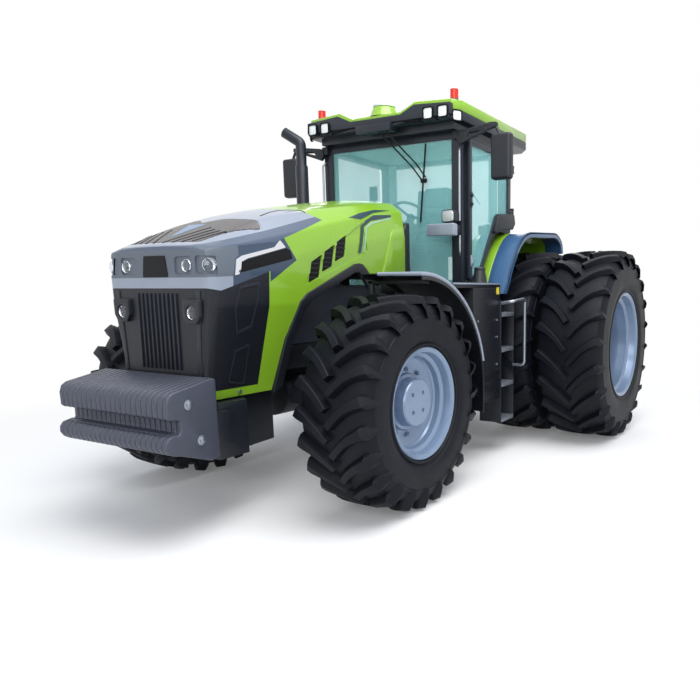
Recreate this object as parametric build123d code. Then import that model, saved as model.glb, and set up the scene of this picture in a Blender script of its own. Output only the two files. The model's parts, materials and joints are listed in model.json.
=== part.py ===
from build123d import *
import os
from math import cos, pi, radians, sin, sqrt

# A large four-wheel-drive farm tractor with twin rear wheels and front weights.
# Millimetres. +X is forward, +Y the tractor's left, +Z up, ground at Z = 0.
# Stations along X are measured from the rear axle, and write() moves the finished
# pieces so that the origin is on the ground, midway between the front and rear ends.

# ---------------------------------------------------------------- driving sizes
WHEELBASE = 3000
FRONT_TYRE_RADIUS = 790
FRONT_TYRE_WIDTH = 590
FRONT_SEAT_RADIUS = 381
FRONT_TRACK_HALF = 1110
REAR_TYRE_RADIUS = 1010
REAR_TYRE_WIDTH = 680
REAR_SEAT_RADIUS = 533
REAR_INNER_TRACK_HALF = 930
REAR_TWIN_SPACING = 760
FRONT_REACH = WHEELBASE + 1486    # rear axle to the weights' front face
REAR_REACH = 1250         # rear axle to the lower links' ball ends

GAP = 0.3                 # seat between pieces that only rest on each other
MOVING_GAP = 6            # between pieces that move past each other
SHAFT_GAP = 0.4           # between a shaft and its bore, on the radius

CAB_FRONT = 1470
CAB_REAR = 400
CAB_HALF_WIDTH = 820

# wheels
RIM_WALL = 12
FLANGE_HEIGHT = 27
FRONT_RIM_WIDTH = 510
REAR_RIM_WIDTH = 620
RIM_DROP = 48
FRONT_DISC_Y = 110        # outboard of the tyre's middle plane
REAR_INNER_DISC_Y = 150
REAR_OUTER_DISC_Y = -170
DISC_THICKNESS = 22
LUG_HEIGHT = 56
FRONT_LUGS = 23           # lugs on each side of the tread
FRONT_LUG_SWEEP = 205     # how far a lug's outer end trails its inner end, along the tread
REAR_LUGS = 22
REAR_LUG_SWEEP = 275
HUB_RADIUS = 176
HUB_FACE_Y = 200          # front hub's outer face, outboard of the tyre's middle plane
REAR_HUB_RADIUS = 150
REAR_HUB_LENGTH = 170
AXLE_BAR_RADIUS = 58
AXLE_BAR_SEAT = 120       # how far the bar runs into the axle housing

# front axle and steering
KINGPIN_Y = 800
KINGPIN_RADIUS = 34
KNUCKLE_TOP = 130         # above and below the wheel centre
KNUCKLE_RADIUS = 165
YOKE_THICKNESS = 55
YOKE_DEPTH = 140
YOKE_REACH = 190          # inboard of the kingpin, to the arms' root
YOKE_NOSE = 55            # outboard of the kingpin
BEAM_HEIGHT = 170
BEAM_DEPTH = 190
DIFF_RADIUS = 185
STEER_ARM_LENGTH = 250
STEER_ARM_THICKNESS = 34
STEER_ARM_WIDTH = 70
TIE_ROD_RADIUS = 20
TIE_ROD_PIN = 14
FENDER_RADIUS = 930
FENDER_THICKNESS = 12
FENDER_OUTER_Y = 1380
FENDER_INNER_Y = 850
FENDER_FRONT_ANGLE = 88
FENDER_TAIL_Z = 570
FENDER_LIP = 45
FENDER_POST_BACK = 200    # post's rear face, behind the kingpin
FENDER_POST_WIDTH = 40
FENDER_POST_THICKNESS = 40

# frame and drive line
FRAME_FRONT = WHEELBASE + 1030
FRAME_REAR = CAB_FRONT + 480
FRAME_HALF_WIDTH = 270
FRAME_BOTTOM = 1000
FRAME_TOP = 1180
BOLSTER_REAR = WHEELBASE + 400
BOLSTER_WIDE_REAR = WHEELBASE + 790
BOLSTER_HALF_WIDTH = 440
BOLSTER_BOTTOM = 500
BOLSTER_TOP = 870
ENGINE_FRONT = WHEELBASE + 300
ENGINE_HALF_WIDTH = 260
ENGINE_TOP = 1640
RADIATOR_REAR = WHEELBASE + 420
RADIATOR_FRONT = WHEELBASE + 850
RADIATOR_HALF_WIDTH = 320
RADIATOR_TOP = 1560
GEARBOX_HALF_WIDTH = 250
GEARBOX_BOTTOM = 560
GEARBOX_TOP = 1180
REAR_HOUSING_HALF_WIDTH = 330
REAR_HOUSING_TOP = 1440
REAR_HOUSING_REACH = 380
TRUMPET_RADIUS = 165
TRUMPET_END_Y = 520

# front weights
WEIGHT_COUNT = 22
WEIGHT_PITCH = 49
WEIGHT_GROOVE = 3
WEIGHT_GROOVE_DEPTH = 34
WEIGHT_BACK = WHEELBASE + 1110
WEIGHT_BOTTOM = 560
WEIGHT_TOP = 1066
WEIGHT_CARRIER_HALF_WIDTH = 500

# hood: the outer skin's half sections, from the front to the rear. Columns: station X,
# foot y, side y at the crease, crease z, shoulder y, shoulder z, roof edge y, roof edge z, crown z
HOOD_SECTIONS = [
    (WHEELBASE + 1085, 345, 455, 1700, 430, 1840, 330, 1868, 1880),
    (WHEELBASE + 1010, 360, 505, 1705, 490, 1868, 370, 1905, 1925),
    (WHEELBASE + 520, 360, 520, 1800, 500, 1965, 380, 2095, 2132),
    (WHEELBASE - 50, 385, 520, 1930, 500, 2105, 390, 2215, 2262),
    (CAB_FRONT + 880, 385, 515, 2020, 490, 2240, 380, 2325, 2370),
    (CAB_FRONT + 490, 385, 505, 2060, 470, 2290, 360, 2372, 2410),
]
HOOD_FOOT = 885
HOOD_WAIST = 1500         # above this height the sides stand upright
HOOD_SKIN = 24
HOOD_LOWEST = 600         # the cutting outlines run down to here, below the hood
HOOD_HIGHEST = 2700
RECESS_DEPTH = 7
VENT_DEPTH = 16
RAISED_BOX = 10
TRIM_PROUD = 16           # wheel arch trims, outside the skin
TRIM_DEPTH = 22           # and inside it
NOSE_LAMP_RADIUS = 42
WORK_LAMP_RADIUS = 58
GRILLE_RIBS = 10
GRILLE_RIB_PITCH = 42
HOOD_HINGE_X = CAB_FRONT + 510
HOOD_HINGE_Z = 2250

HINGE_PIN = 12
HOOD_HINGE_REACH = 470

# cab
PILLAR_WIDTH = 110
PILLAR_DEPTH = 85
CAB_FLOOR_Z = 1560
FLOOR_STEP_X = 1160
CAB_FLOOR_THICKNESS = 60
SILL_TOP = 1650
CAB_TOP = 3060
RAIL_HEIGHT = 70
GLASS_THICKNESS = 6
ROOF_FRONT = 1655
ROOF_REAR = -20
ROOF_HALF_WIDTH = 880
ROOF_EDGE_Z = 3262
ROOF_PLATEAU_Z = 3310
ROOF_DIP_Z = 3238
ROOF_REAR_DROP = 20
ROOF_SKIN_HEIGHT = 42
ROOF_CREST_Y = 440
ROOF_SHOULDER_DROP = 20
ROOF_DIP_HALF = 280
ROOF_LAMPS = (602, 757)   # middles of the two work lamps at each front corner
ROOF_LAMP_HALF = 57
BEACON_X = 1530
BEACON_Y = 780
BEACON_RADIUS = 38
BEACON_HEIGHT = 105
DOOR_GAP = 6
DOOR_THICKNESS = 40
DOOR_FRAME_WIDTH = 46
DOOR_HINGE_X = CAB_REAR + 55
DOOR_HINGE_Y = CAB_HALF_WIDTH + 48
DOOR_HINGE_HEIGHTS = (2420, 2860)
DOOR_PIN_RADIUS = 8
DOOR_BARREL_RADIUS = 15
DOOR_BARREL_HALF = 21

MIRROR_Y = 1250
MIRROR_Z = 2780
EXHAUST_X = CAB_FRONT + 430
EXHAUST_Y = 740
EXHAUST_SHIELD_FOOT = 1700
EXHAUST_SHIELD_TOP = 2800

# rear fenders, outline of the outer skin in X and Z
REAR_FENDER_OUTLINE = [(1150, 1560), (1010, 1840), (720, 2190), (-250, 2250), (-420, 2150), (-450, 2020)]
REAR_FENDER_SKIN = 30
REAR_FENDER_INNER_Y = 530
REAR_FENDER_OUTER_Y = 1120
REAR_FENDER_LIP = 95
REAR_FENDER_SPLIT_Y = 900   # green inboard of this, dark flare outboard

# tanks, ladder
TANK_FRONT = WHEELBASE - 1120
TANK_REAR = 1345
TANK_INNER_Y = 640
TANK_OUTER_Y = 1160
TANK_BOTTOM = 560
TANK_TOP = 1620
DECK_THICKNESS = 40
TANK_RIDGES = (640, 730, 820)
DECK_FRONT = WHEELBASE - 770
DECK_INNER_Y = 560
LADDER_REAR = 1040
STEP_HEIGHTS = (350, 700, 1040, 1380)
STEP_DEPTH = 230
STEP_THICKNESS = 34
LADDER_SIDE = 14
LADDER_FOOT = 330
LADDER_TOP = 1500
HANDRAIL_RADIUS = 14
HANDRAIL_REACH = 120      # outboard of the ladder
HANDRAIL_BOTTOM = 860

# rear linkage
LINK_PIVOT_X = -300
LINK_PIVOT_Z = 560
LINK_PIVOT_Y = 365
LINK_END_Y = 470
LINK_END_Z = 430
LINK_SECTION = (34, 90)
BALL_RADIUS = 62
BALL_BORE = 18.5
BALL_WIDTH = 58
LIFT_SHAFT_X = -250
LIFT_SHAFT_Z = 1290
LIFT_SHAFT_RADIUS = 38
LIFT_ARM_REACH = 330      # rearwards, from the shaft to the rod's pin
LIFT_ARM_DROP = 60
LIFT_ARM_Y = 370
LIFT_ARM_THICKNESS = 44
LIFT_PIN_RADIUS = 15
LIFT_ROD_RADIUS = 18
LIFT_ROD_FOOT_X = -800
TOP_LINK_X = -430
TOP_LINK_Z = 1010
TOP_LINK_LENGTH = 760
TOP_LINK_LEAN = 50        # degrees above level, as it hangs on its hook
TOP_LINK_PIN_RADIUS = 14
TOP_LINK_BORE = 16
TOP_LINK_EAR_Y = 32
LINK_SHAFT_RADIUS = 24
PTO_RADIUS = 22.5
PTO_Z = 800
DRAWBAR_Z = 470
DRAWBAR_HALF_WIDTH = 55
DRAWBAR_HEIGHT = 45
DRAWBAR_REACH = 640
DRAWBAR_PIN_RADIUS = 16.5

# places that follow from the sizes above
ORIGIN_X = (FRONT_REACH - REAR_REACH) / 2
FRONT_Z = FRONT_TYRE_RADIUS
REAR_Z = REAR_TYRE_RADIUS
REAR_OUTER_TRACK_HALF = REAR_INNER_TRACK_HALF + REAR_TWIN_SPACING
WEIGHT_HALF_WIDTH = WEIGHT_COUNT * WEIGHT_PITCH / 2


# ---------------------------------------------------------------- helpers
def block(x0, x1, y0, y1, z0, z1):
    """A box between two corners."""
    return Pos((x0 + x1) / 2, (y0 + y1) / 2, (z0 + z1) / 2) * Box(x1 - x0, y1 - y0, z1 - z0)


def bar_y(x, z, y0, y1, radius):
    """A round bar along Y."""
    return Pos(x, (y0 + y1) / 2, z) * Rot(90, 0, 0) * Cylinder(radius, abs(y1 - y0))


def bar_x(x0, x1, y, z, radius):
    """A round bar along X."""
    return Pos((x0 + x1) / 2, y, z) * Rot(0, 90, 0) * Cylinder(radius, abs(x1 - x0))


def bar_z(x, y, z0, z1, radius):
    """A round bar along Z."""
    return Pos(x, y, (z0 + z1) / 2) * Cylinder(radius, z1 - z0)


def rod(start, end, radius):
    """A round rod between two points."""
    a, b = Vector(*start), Vector(*end)
    plane = Plane(origin=a, z_dir=b - a)
    return extrude(plane * Circle(radius), amount=(b - a).length)


def outline(points, radius=0):
    """A closed flat face through the points, with its corners rounded where a radius is given."""
    if radius:
        return make_face(FilletPolyline(*points, radius=radius, close=True))
    return make_face(Polyline(*points, close=True))


def side_plate(points, y0, y1, radius=0):
    """An outline in X and Z, pushed along Y from y0 to y1."""
    face = Plane.XZ.offset(-y0) * outline(points, radius)
    return extrude(face, amount=y1 - y0, dir=(0, 1, 0))


def end_plate(points, x0, x1, radius=0):
    """An outline in Y and Z, pushed along X from x0 to x1."""
    face = Plane.YZ.offset(x0) * outline(points, radius)
    return extrude(face, amount=x1 - x0, dir=(1, 0, 0))


def flat_plate(points, z0, z1, radius=0):
    """An outline in X and Y, pushed along Z from z0 to z1."""
    face = Plane.XY.offset(z0) * outline(points, radius)
    return extrude(face, amount=z1 - z0, dir=(0, 0, 1))


def turned(profile, x, y, z):
    """A ring turned round the Y axis from an outline in radius and y, set down at x, y, z."""
    return Pos(x, y, z) * revolve(outline(profile), axis=Axis.Y)


def other_side(shape):
    """The same piece on the tractor's right."""
    return mirror(shape, about=Plane.XZ)


def write(name, shape):
    """Moves a finished piece into the part's frame and writes it."""
    solids = shape.solids() if hasattr(shape, "solids") else [shape]
    placed = [Pos(-ORIGIN_X, 0, 0) * s for s in solids]
    whole = placed[0] if len(placed) == 1 else Compound(children=placed)
    export_step(whole, f"parts/{name}.step")


# ---------------------------------------------------------------- wheels
def lug_corners(radius, half, reach):
    """One lug's corners. Columns: y, radius, half length along the tread, trail behind the inner end."""
    top = [(22, radius / cos(30 / radius), 30, 0), (half - 23, radius - 14, 38, reach)]
    base = [(10, radius - LUG_HEIGHT, 54, 0), (half - 5, radius - 85, 52, reach)]
    return top, base


def tyre(x, y, z, radius, width, seat_radius, rim_width, lugs, sweep):
    """A tyre out to its lugs' tips, as flat faces: two rings of slanted lugs, sidewalls and beads."""
    half, seat, pitch = width / 2, rim_width / 2 - GAP, 2 * pi / lugs
    open_out = 1 / cos(pitch / 2)
    bead, hole = (seat_radius + FLANGE_HEIGHT + 4) * open_out, (seat_radius + GAP) * open_out
    top, base = lug_corners(radius, half, sweep / radius)
    faces, feet, holes = [], {}, {}

    def point(angle, r, out):
        return Vector(x + r * sin(angle), y + out, z + r * cos(angle))

    def patch(*corners, flat=False):
        first = corners[0]
        whole = [corners] if flat else [(first, b, c) for b, c in zip(corners[1:], corners[2:])]
        faces.extend(make_face(Polyline(*group, close=True)).face() for group in whole)

    for side, phase in ((1, 0), (-1, pitch / 2)):
        rings = []
        for k in range(lugs):
            middle = phase + k * pitch
            corner = {}
            for name, table in (("top", top), ("base", base)):
                for end, (out, r, length, trail) in enumerate(table):
                    for way in (-1, 1):
                        angle = middle - trail + way * length / radius
                        corner[name, end, way] = point(angle, r, side * out)
            outer_angle = middle - base[1][3]
            corner["wall"] = point(outer_angle, radius - 190, side * half)
            corner["bead"] = point(outer_angle, bead, side * seat)
            corner["hole"] = point(outer_angle, hole, side * seat)
            rings.append(corner)
        for k in range(lugs):
            a, b = rings[k], rings[(k + 1) % lugs]
            patch(a["top", 0, -1], a["top", 0, 1], a["top", 1, 1], a["top", 1, -1])
            for way in (-1, 1):
                patch(a["base", 0, way], a["top", 0, way], a["top", 1, way], a["base", 1, way])
            for end in (0, 1):
                patch(a["base", end, -1], a["top", end, -1], a["top", end, 1], a["base", end, 1], flat=True)
            patch(a["base", 0, 1], b["base", 0, -1], b["base", 1, -1], a["base", 1, 1])
            patch(a["base", 1, -1], a["base", 1, 1], a["wall"])
            patch(a["base", 1, 1], b["base", 1, -1], b["wall"])
            patch(a["base", 1, 1], b["wall"], a["wall"])
            patch(a["wall"], b["wall"], b["bead"], a["bead"], flat=True)
            patch(a["bead"], b["bead"], b["hole"], a["hole"], flat=True)
        feet[side] = [ring["base", 0, way] for ring in rings for way in (-1, 1)]
        holes[side] = [ring["hole"] for ring in rings]
    left, right = feet[1], feet[-1]
    for k in range(2 * lugs):
        patch(left[k], left[(k + 1) % (2 * lugs)], right[k], right[k - 1])
    left, right = holes[1], holes[-1]
    for k in range(lugs):
        patch(left[k], left[(k + 1) % lugs], right[k])
        patch(left[k], right[k], right[k - 1])
    return Solid(Shell(faces))


def rim_ring(x, y, z, seat_radius, width):
    """A wheel rim: flanges, bead seats and a drop centre, in one wall."""
    half, wall = width / 2, RIM_WALL
    flange, drop = seat_radius + FLANGE_HEIGHT, seat_radius - RIM_DROP
    outer = [(flange, half + wall), (flange, half), (seat_radius, half), (seat_radius, half - 90),
             (drop, half - 130)]
    mirrored = [(r, -w) for r, w in reversed(outer)]
    inner = [(flange - wall, -half - wall), (seat_radius - wall, -half + wall),
             (seat_radius - wall, -half + 84),
             (drop - wall, -half + 124)]
    back = [(r, -w) for r, w in reversed(inner)]
    return turned(outer + mirrored + inner + back, x, y, z)


def front_wheel():
    """The left front rim with its disc and hub, and its tyre."""
    x, y, z = WHEELBASE, FRONT_TRACK_HALF, FRONT_Z
    ring = rim_ring(x, y, z, FRONT_SEAT_RADIUS, FRONT_RIM_WIDTH)
    face = y + FRONT_DISC_Y
    inner = FRONT_SEAT_RADIUS - RIM_DROP - RIM_WALL / 2
    plate = bar_y(x, z, face - DISC_THICKNESS, face, inner)
    hub = bar_y(x, z, y - 60, y + HUB_FACE_Y, HUB_RADIUS)
    wheel_tyre = tyre(x, y, z, FRONT_TYRE_RADIUS, FRONT_TYRE_WIDTH, FRONT_SEAT_RADIUS, FRONT_RIM_WIDTH,
                      FRONT_LUGS, FRONT_LUG_SWEEP)
    return ring + plate + hub, wheel_tyre


def rear_wheels():
    """The left twin rims on their axle bar, and the two tyres."""
    rims = bar_y(0, REAR_Z, TRUMPET_END_Y - AXLE_BAR_SEAT, REAR_OUTER_TRACK_HALF + 60, AXLE_BAR_RADIUS)
    tyres = []
    places = ((REAR_INNER_TRACK_HALF, REAR_INNER_DISC_Y), (REAR_OUTER_TRACK_HALF, REAR_OUTER_DISC_Y))
    for y, disc_y in places:
        plate_y = y + disc_y
        rims += rim_ring(0, y, REAR_Z, REAR_SEAT_RADIUS, REAR_RIM_WIDTH)
        rims += bar_y(0, REAR_Z, plate_y - DISC_THICKNESS, plate_y,
                      REAR_SEAT_RADIUS - RIM_DROP - RIM_WALL / 2)
        rims += bar_y(0, REAR_Z, plate_y - REAR_HUB_LENGTH / 2, plate_y + REAR_HUB_LENGTH / 2,
                      REAR_HUB_RADIUS)
        tyres.append(tyre(0, y, REAR_Z, REAR_TYRE_RADIUS, REAR_TYRE_WIDTH, REAR_SEAT_RADIUS, REAR_RIM_WIDTH,
                          REAR_LUGS, REAR_LUG_SWEEP))
    return rims, Compound(children=tyres)


# ---------------------------------------------------------------- front axle and steering
def front_axle():
    """The beam with its differential, its cradle under the frame and the yokes for the kingpins."""
    x, z = WHEELBASE, FRONT_Z
    root = KINGPIN_Y - YOKE_REACH
    half = YOKE_DEPTH / 2
    beam = block(x - BEAM_DEPTH / 2, x + BEAM_DEPTH / 2, -root, root, z - BEAM_HEIGHT / 2,
                 z + BEAM_HEIGHT / 2)
    beam += bar_x(x - 150, x + 150, 0, z, DIFF_RADIUS)
    beam += block(x - 190, x + 190, -120, 120, z + 60, FRAME_BOTTOM - GAP)
    reach = KNUCKLE_TOP + MOVING_GAP
    for side in (1, -1):
        near, far = sorted((side * root, side * (KINGPIN_Y + YOKE_NOSE)))
        for end in (1, -1):
            low, high = sorted((z + end * reach, z + end * (reach + YOKE_THICKNESS)))
            beam += block(x - half, x + half, near, far, low, high)
        near, far = sorted((side * (root - 60), side * (root + 5)))
        beam += block(x - half, x + half, near, far, z - reach - YOKE_THICKNESS, z + reach + YOKE_THICKNESS)
        beam -= bar_z(x, side * KINGPIN_Y, z - reach - YOKE_THICKNESS - 5, z + reach + YOKE_THICKNESS + 5,
                      KINGPIN_RADIUS + SHAFT_GAP)
    return beam


def knuckle():
    """The left steering knuckle: block with its kingpin, hub carrier and the arm for the tie rod."""
    x, z = WHEELBASE, FRONT_Z
    shape = block(x - 80, x + 80, KINGPIN_Y - 85, KINGPIN_Y + 85, z - KNUCKLE_TOP, z + KNUCKLE_TOP)
    reach = KNUCKLE_TOP + MOVING_GAP + YOKE_THICKNESS
    shape += bar_z(x, KINGPIN_Y, z - reach, z + reach, KINGPIN_RADIUS)
    shape += bar_y(x, z, KINGPIN_Y, FRONT_TRACK_HALF - 60 - GAP, KNUCKLE_RADIUS - 35)
    eye_x, half = x - STEER_ARM_LENGTH, STEER_ARM_WIDTH / 2
    shape += block(eye_x, x - 60, KINGPIN_Y - half, KINGPIN_Y + half, z - STEER_ARM_THICKNESS, z)
    shape += bar_z(eye_x, KINGPIN_Y, z - STEER_ARM_THICKNESS, z, half)
    shape -= bar_z(eye_x, KINGPIN_Y, z - STEER_ARM_THICKNESS - 5, z + 5, TIE_ROD_PIN + SHAFT_GAP)
    return shape


def tie_rod():
    """The rod across the axle's rear, with a pin up into each steering arm."""
    x = WHEELBASE - STEER_ARM_LENGTH
    under = FRONT_Z - STEER_ARM_THICKNESS - GAP
    z = under - TIE_ROD_RADIUS - 10
    shape = bar_y(x, z, -KINGPIN_Y, KINGPIN_Y, TIE_ROD_RADIUS)
    for side in (1, -1):
        shape += bar_z(x, side * KINGPIN_Y, z - TIE_ROD_RADIUS - 4, under, STEER_ARM_WIDTH / 2)
        shape += bar_z(x, side * KINGPIN_Y, under - 1, FRONT_Z, TIE_ROD_PIN)
    return shape


def front_fender():
    """The left front fender: a curved sheet with an outer lip, on a post bolted behind the knuckle."""
    x, z, r, t = WHEELBASE, FRONT_Z, FENDER_RADIUS, FENDER_THICKNESS
    a = radians(FENDER_FRONT_ANGLE)
    far = 2 * r
    wedge = side_plate(
        [(x, z), (x + far * cos(a), z + far * sin(a)), (x, z + 2 * far), (x - 2 * far, z + far),
         (x - 2 * far, z)],
        0, 3 * r)
    ring = bar_y(x, z, FENDER_INNER_Y, FENDER_OUTER_Y, r)
    ring -= bar_y(x, z, FENDER_INNER_Y - 5, FENDER_OUTER_Y + 5, r - t)
    lip = bar_y(x, z, FENDER_OUTER_Y - t, FENDER_OUTER_Y, r)
    lip -= bar_y(x, z, FENDER_OUTER_Y - t - 5, FENDER_OUTER_Y + 5, r - FENDER_LIP)
    sheet = (ring + lip) & wedge
    sheet += block(x - r, x - r + t, FENDER_INNER_Y, FENDER_OUTER_Y, FENDER_TAIL_Z, z + 1)
    sheet += block(x - r, x - r + FENDER_LIP, FENDER_OUTER_Y - t, FENDER_OUTER_Y, FENDER_TAIL_Z, z + 1)
    back = x - FENDER_POST_BACK
    front = back + FENDER_POST_THICKNESS
    y0, y1 = KINGPIN_Y - FENDER_POST_WIDTH, KINGPIN_Y
    rise = sqrt((r - t) ** 2 - FENDER_POST_BACK ** 2)
    post = block(back, front, y0, y1, z + 30, z + rise - 12)
    post += block(back, x - 80 - GAP, y0, y1, z + 30, z + KNUCKLE_TOP - 10)
    post += block(back, front, y0, FENDER_OUTER_Y - 80, z + rise - 40, z + rise + 2)
    return sheet + post


# ---------------------------------------------------------------- frame, engine, transmission
def front_frame():
    """The bolster and rails that carry the engine, the hood and the weights."""
    half = FRAME_HALF_WIDTH
    shape = block(FRAME_REAR, BOLSTER_REAR + 20, -half, half, FRAME_BOTTOM, FRAME_TOP)
    narrow, wide = half + 40, BOLSTER_HALF_WIDTH
    plan = [(BOLSTER_REAR, -half), (BOLSTER_WIDE_REAR - 60, -narrow), (BOLSTER_WIDE_REAR, -wide),
            (FRAME_FRONT, -wide),
            (FRAME_FRONT, wide), (BOLSTER_WIDE_REAR, wide), (BOLSTER_WIDE_REAR - 60, narrow),
            (BOLSTER_REAR, half)]
    shape += flat_plate(plan, BOLSTER_BOTTOM, BOLSTER_TOP)
    shape += block(BOLSTER_REAR, RADIATOR_FRONT, -half, half, BOLSTER_TOP - 20, FRAME_TOP)
    for side in (1, -1):
        near, far = sorted((side * (WEIGHT_CARRIER_HALF_WIDTH - 60), side * WEIGHT_CARRIER_HALF_WIDTH))
        shape += block(FRAME_FRONT - 40, WEIGHT_BACK - GAP, near, far, 640, 830)
    shape += block(FRAME_FRONT - 10, WEIGHT_BACK - GAP, -WEIGHT_CARRIER_HALF_WIDTH,
                   WEIGHT_CARRIER_HALF_WIDTH, 660, 740)
    for side in (1, -1):
        near, far = sorted((side * 150, side * 230))
        shape += block(FRAME_REAR, FRAME_REAR + 60, near, far, FRAME_TOP - 1, HOOD_HINGE_Z + 24)
        shape -= bar_y(HOOD_HINGE_X, HOOD_HINGE_Z, near - 5, far + 5, HINGE_PIN + SHAFT_GAP)
    return shape


def engine():
    """The engine as a plain block, with the cooling pack ahead of it."""
    half = ENGINE_HALF_WIDTH
    block_shape = block(FRAME_REAR + 80, ENGINE_FRONT, -half, half, FRAME_TOP + GAP, ENGINE_TOP)
    half = RADIATOR_HALF_WIDTH
    cooler = block(RADIATOR_REAR, RADIATOR_FRONT, -half, half, FRAME_TOP + GAP, RADIATOR_TOP)
    shroud = block(ENGINE_FRONT - 1, RADIATOR_REAR + 1, -180, 180, FRAME_TOP + 60, ENGINE_TOP - 120)
    return block_shape + cooler + shroud


def transmission():
    """Gearbox, rear axle housing and the two trumpets the axle bars run in."""
    half = GEARBOX_HALF_WIDTH
    shape = block(-100, FRAME_REAR - GAP, -half, half, GEARBOX_BOTTOM, GEARBOX_TOP)
    half, reach = REAR_HOUSING_HALF_WIDTH, REAR_HOUSING_REACH
    side = [(-reach, 500), (reach, 500), (reach + 140, 700), (reach + 140, GEARBOX_TOP),
            (reach, REAR_HOUSING_TOP),
            (-reach + 40, REAR_HOUSING_TOP), (-reach, REAR_HOUSING_TOP - 120)]
    shape += side_plate(side, -half, half, radius=20)
    shape += bar_y(0, REAR_Z, -TRUMPET_END_Y, TRUMPET_END_Y, TRUMPET_RADIUS)
    for end in (1, -1):
        y0, y1 = sorted((end * (TRUMPET_END_Y - AXLE_BAR_SEAT - GAP), end * (TRUMPET_END_Y + 10)))
        shape -= bar_y(0, REAR_Z, y0, y1, AXLE_BAR_RADIUS + SHAFT_GAP)
        near, far = sorted((end * (TOP_LINK_EAR_Y), end * (TOP_LINK_EAR_Y + 24)))
        shape += side_plate([(-reach + 5, TOP_LINK_Z - 60), (TOP_LINK_X - 34, TOP_LINK_Z - 34),
                             (TOP_LINK_X - 34, TOP_LINK_Z + 34), (-reach + 5, TOP_LINK_Z + 60)], near, far)
    shape -= bar_y(TOP_LINK_X, TOP_LINK_Z, -200, 200, TOP_LINK_PIN_RADIUS + SHAFT_GAP)
    shape += bar_x(-reach - 30, -reach + 10, 0, PTO_Z, 90)
    shape += bar_x(-reach - 110, -reach + 10, 0, PTO_Z, PTO_RADIUS)
    shape -= bar_y(LINK_PIVOT_X, LINK_PIVOT_Z, -half - 5, half + 5, LINK_SHAFT_RADIUS + SHAFT_GAP)
    shape -= bar_y(LIFT_SHAFT_X, LIFT_SHAFT_Z, -half - 5, half + 5, LIFT_SHAFT_RADIUS + SHAFT_GAP)
    hanger = block(-reach + 20, -reach + 80, -DRAWBAR_HALF_WIDTH - 20, DRAWBAR_HALF_WIDTH + 20,
                   DRAWBAR_Z - DRAWBAR_HEIGHT - 20, 501)
    hanger += block(reach - 120, reach - 60, -DRAWBAR_HALF_WIDTH - 20, DRAWBAR_HALF_WIDTH + 20,
                    DRAWBAR_Z - DRAWBAR_HEIGHT - 20, 501)
    bar = block(-DRAWBAR_REACH, reach - 60, -DRAWBAR_HALF_WIDTH, DRAWBAR_HALF_WIDTH,
                DRAWBAR_Z - DRAWBAR_HEIGHT,
                DRAWBAR_Z)
    bar -= bar_z(-DRAWBAR_REACH + 50, 0, DRAWBAR_Z - 100, DRAWBAR_Z + 10, DRAWBAR_PIN_RADIUS)
    return shape + hanger + bar


def front_weights():
    """The stack of suitcase weights: one casting profile, with a groove between neighbours."""
    f, b, top, foot = FRONT_REACH, WEIGHT_BACK, WEIGHT_TOP, WEIGHT_BOTTOM
    profile = [(b, foot), (b + 60, foot - 20), (f - 90, foot + 60), (f - 40, foot + 75), (f, foot + 105),
               (f - 6, foot + 190), (f - 60, foot + 196), (f - 110, foot + 190), (f - 110, foot + 285),
               (f - 20, foot + 285), (f - 26, top - 110), (f - 60, top - 62), (f - 150, top - 44),
               (b + 30, top),
               (b, top - 10)]
    half = WEIGHT_HALF_WIDTH
    stack = side_plate(profile, -half, half)
    cut = WEIGHT_GROOVE / 2
    for i in range(1, WEIGHT_COUNT):
        y = -half + i * WEIGHT_PITCH
        slot = block(f - WEIGHT_GROOVE_DEPTH, f + 10, y - cut, y + cut, foot - 60, top + 10)
        lid = block(b - 10, f + 10, y - cut, y + cut, top - 90, top + 10)
        stack -= slot
        stack -= lid
    return stack


# ---------------------------------------------------------------- hood
def hood_section(row, inset):
    """One cross-section of the hood as a flat face, drawn in by inset all round."""
    x, foot_y, side_y, crease_z, shoulder_y, shoulder_z, edge_y, edge_z, crown_z = row
    waist_y = side_y - 8
    half = [(foot_y - inset, HOOD_FOOT), (waist_y - inset, HOOD_WAIST), (side_y - inset, crease_z),
            (shoulder_y - inset, shoulder_z - inset), (edge_y - inset, edge_z - inset)]
    points = half + [(0, crown_z - inset)] + [(-y, z) for y, z in reversed(half)]
    return Plane.YZ.offset(x) * outline(points)


def hood_form(inset, front=0, rear=0):
    """The hood's whole form, drawn in by inset, its ends drawn in by front and rear."""
    rows = [list(row) for row in HOOD_SECTIONS]
    rows[0][0] -= front
    rows[-1][0] -= rear
    return loft([hood_section(row, inset) for row in rows], ruled=True)


def hood_skin():
    """The hood's hollow outer form, before it is divided into its panels."""
    inner = hood_form(HOOD_SKIN, front=HOOD_SKIN, rear=10)
    inner += block(HOOD_SECTIONS[-1][0] - 10, HOOD_SECTIONS[0][0] - HOOD_SKIN, -320, 320, HOOD_FOOT - 10,
                   HOOD_FOOT + 60)
    return hood_form(0) - inner


def ahead(points):
    """Points given from the front axle, as stations."""
    return [(WHEELBASE + x, z) for x, z in points]


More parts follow.
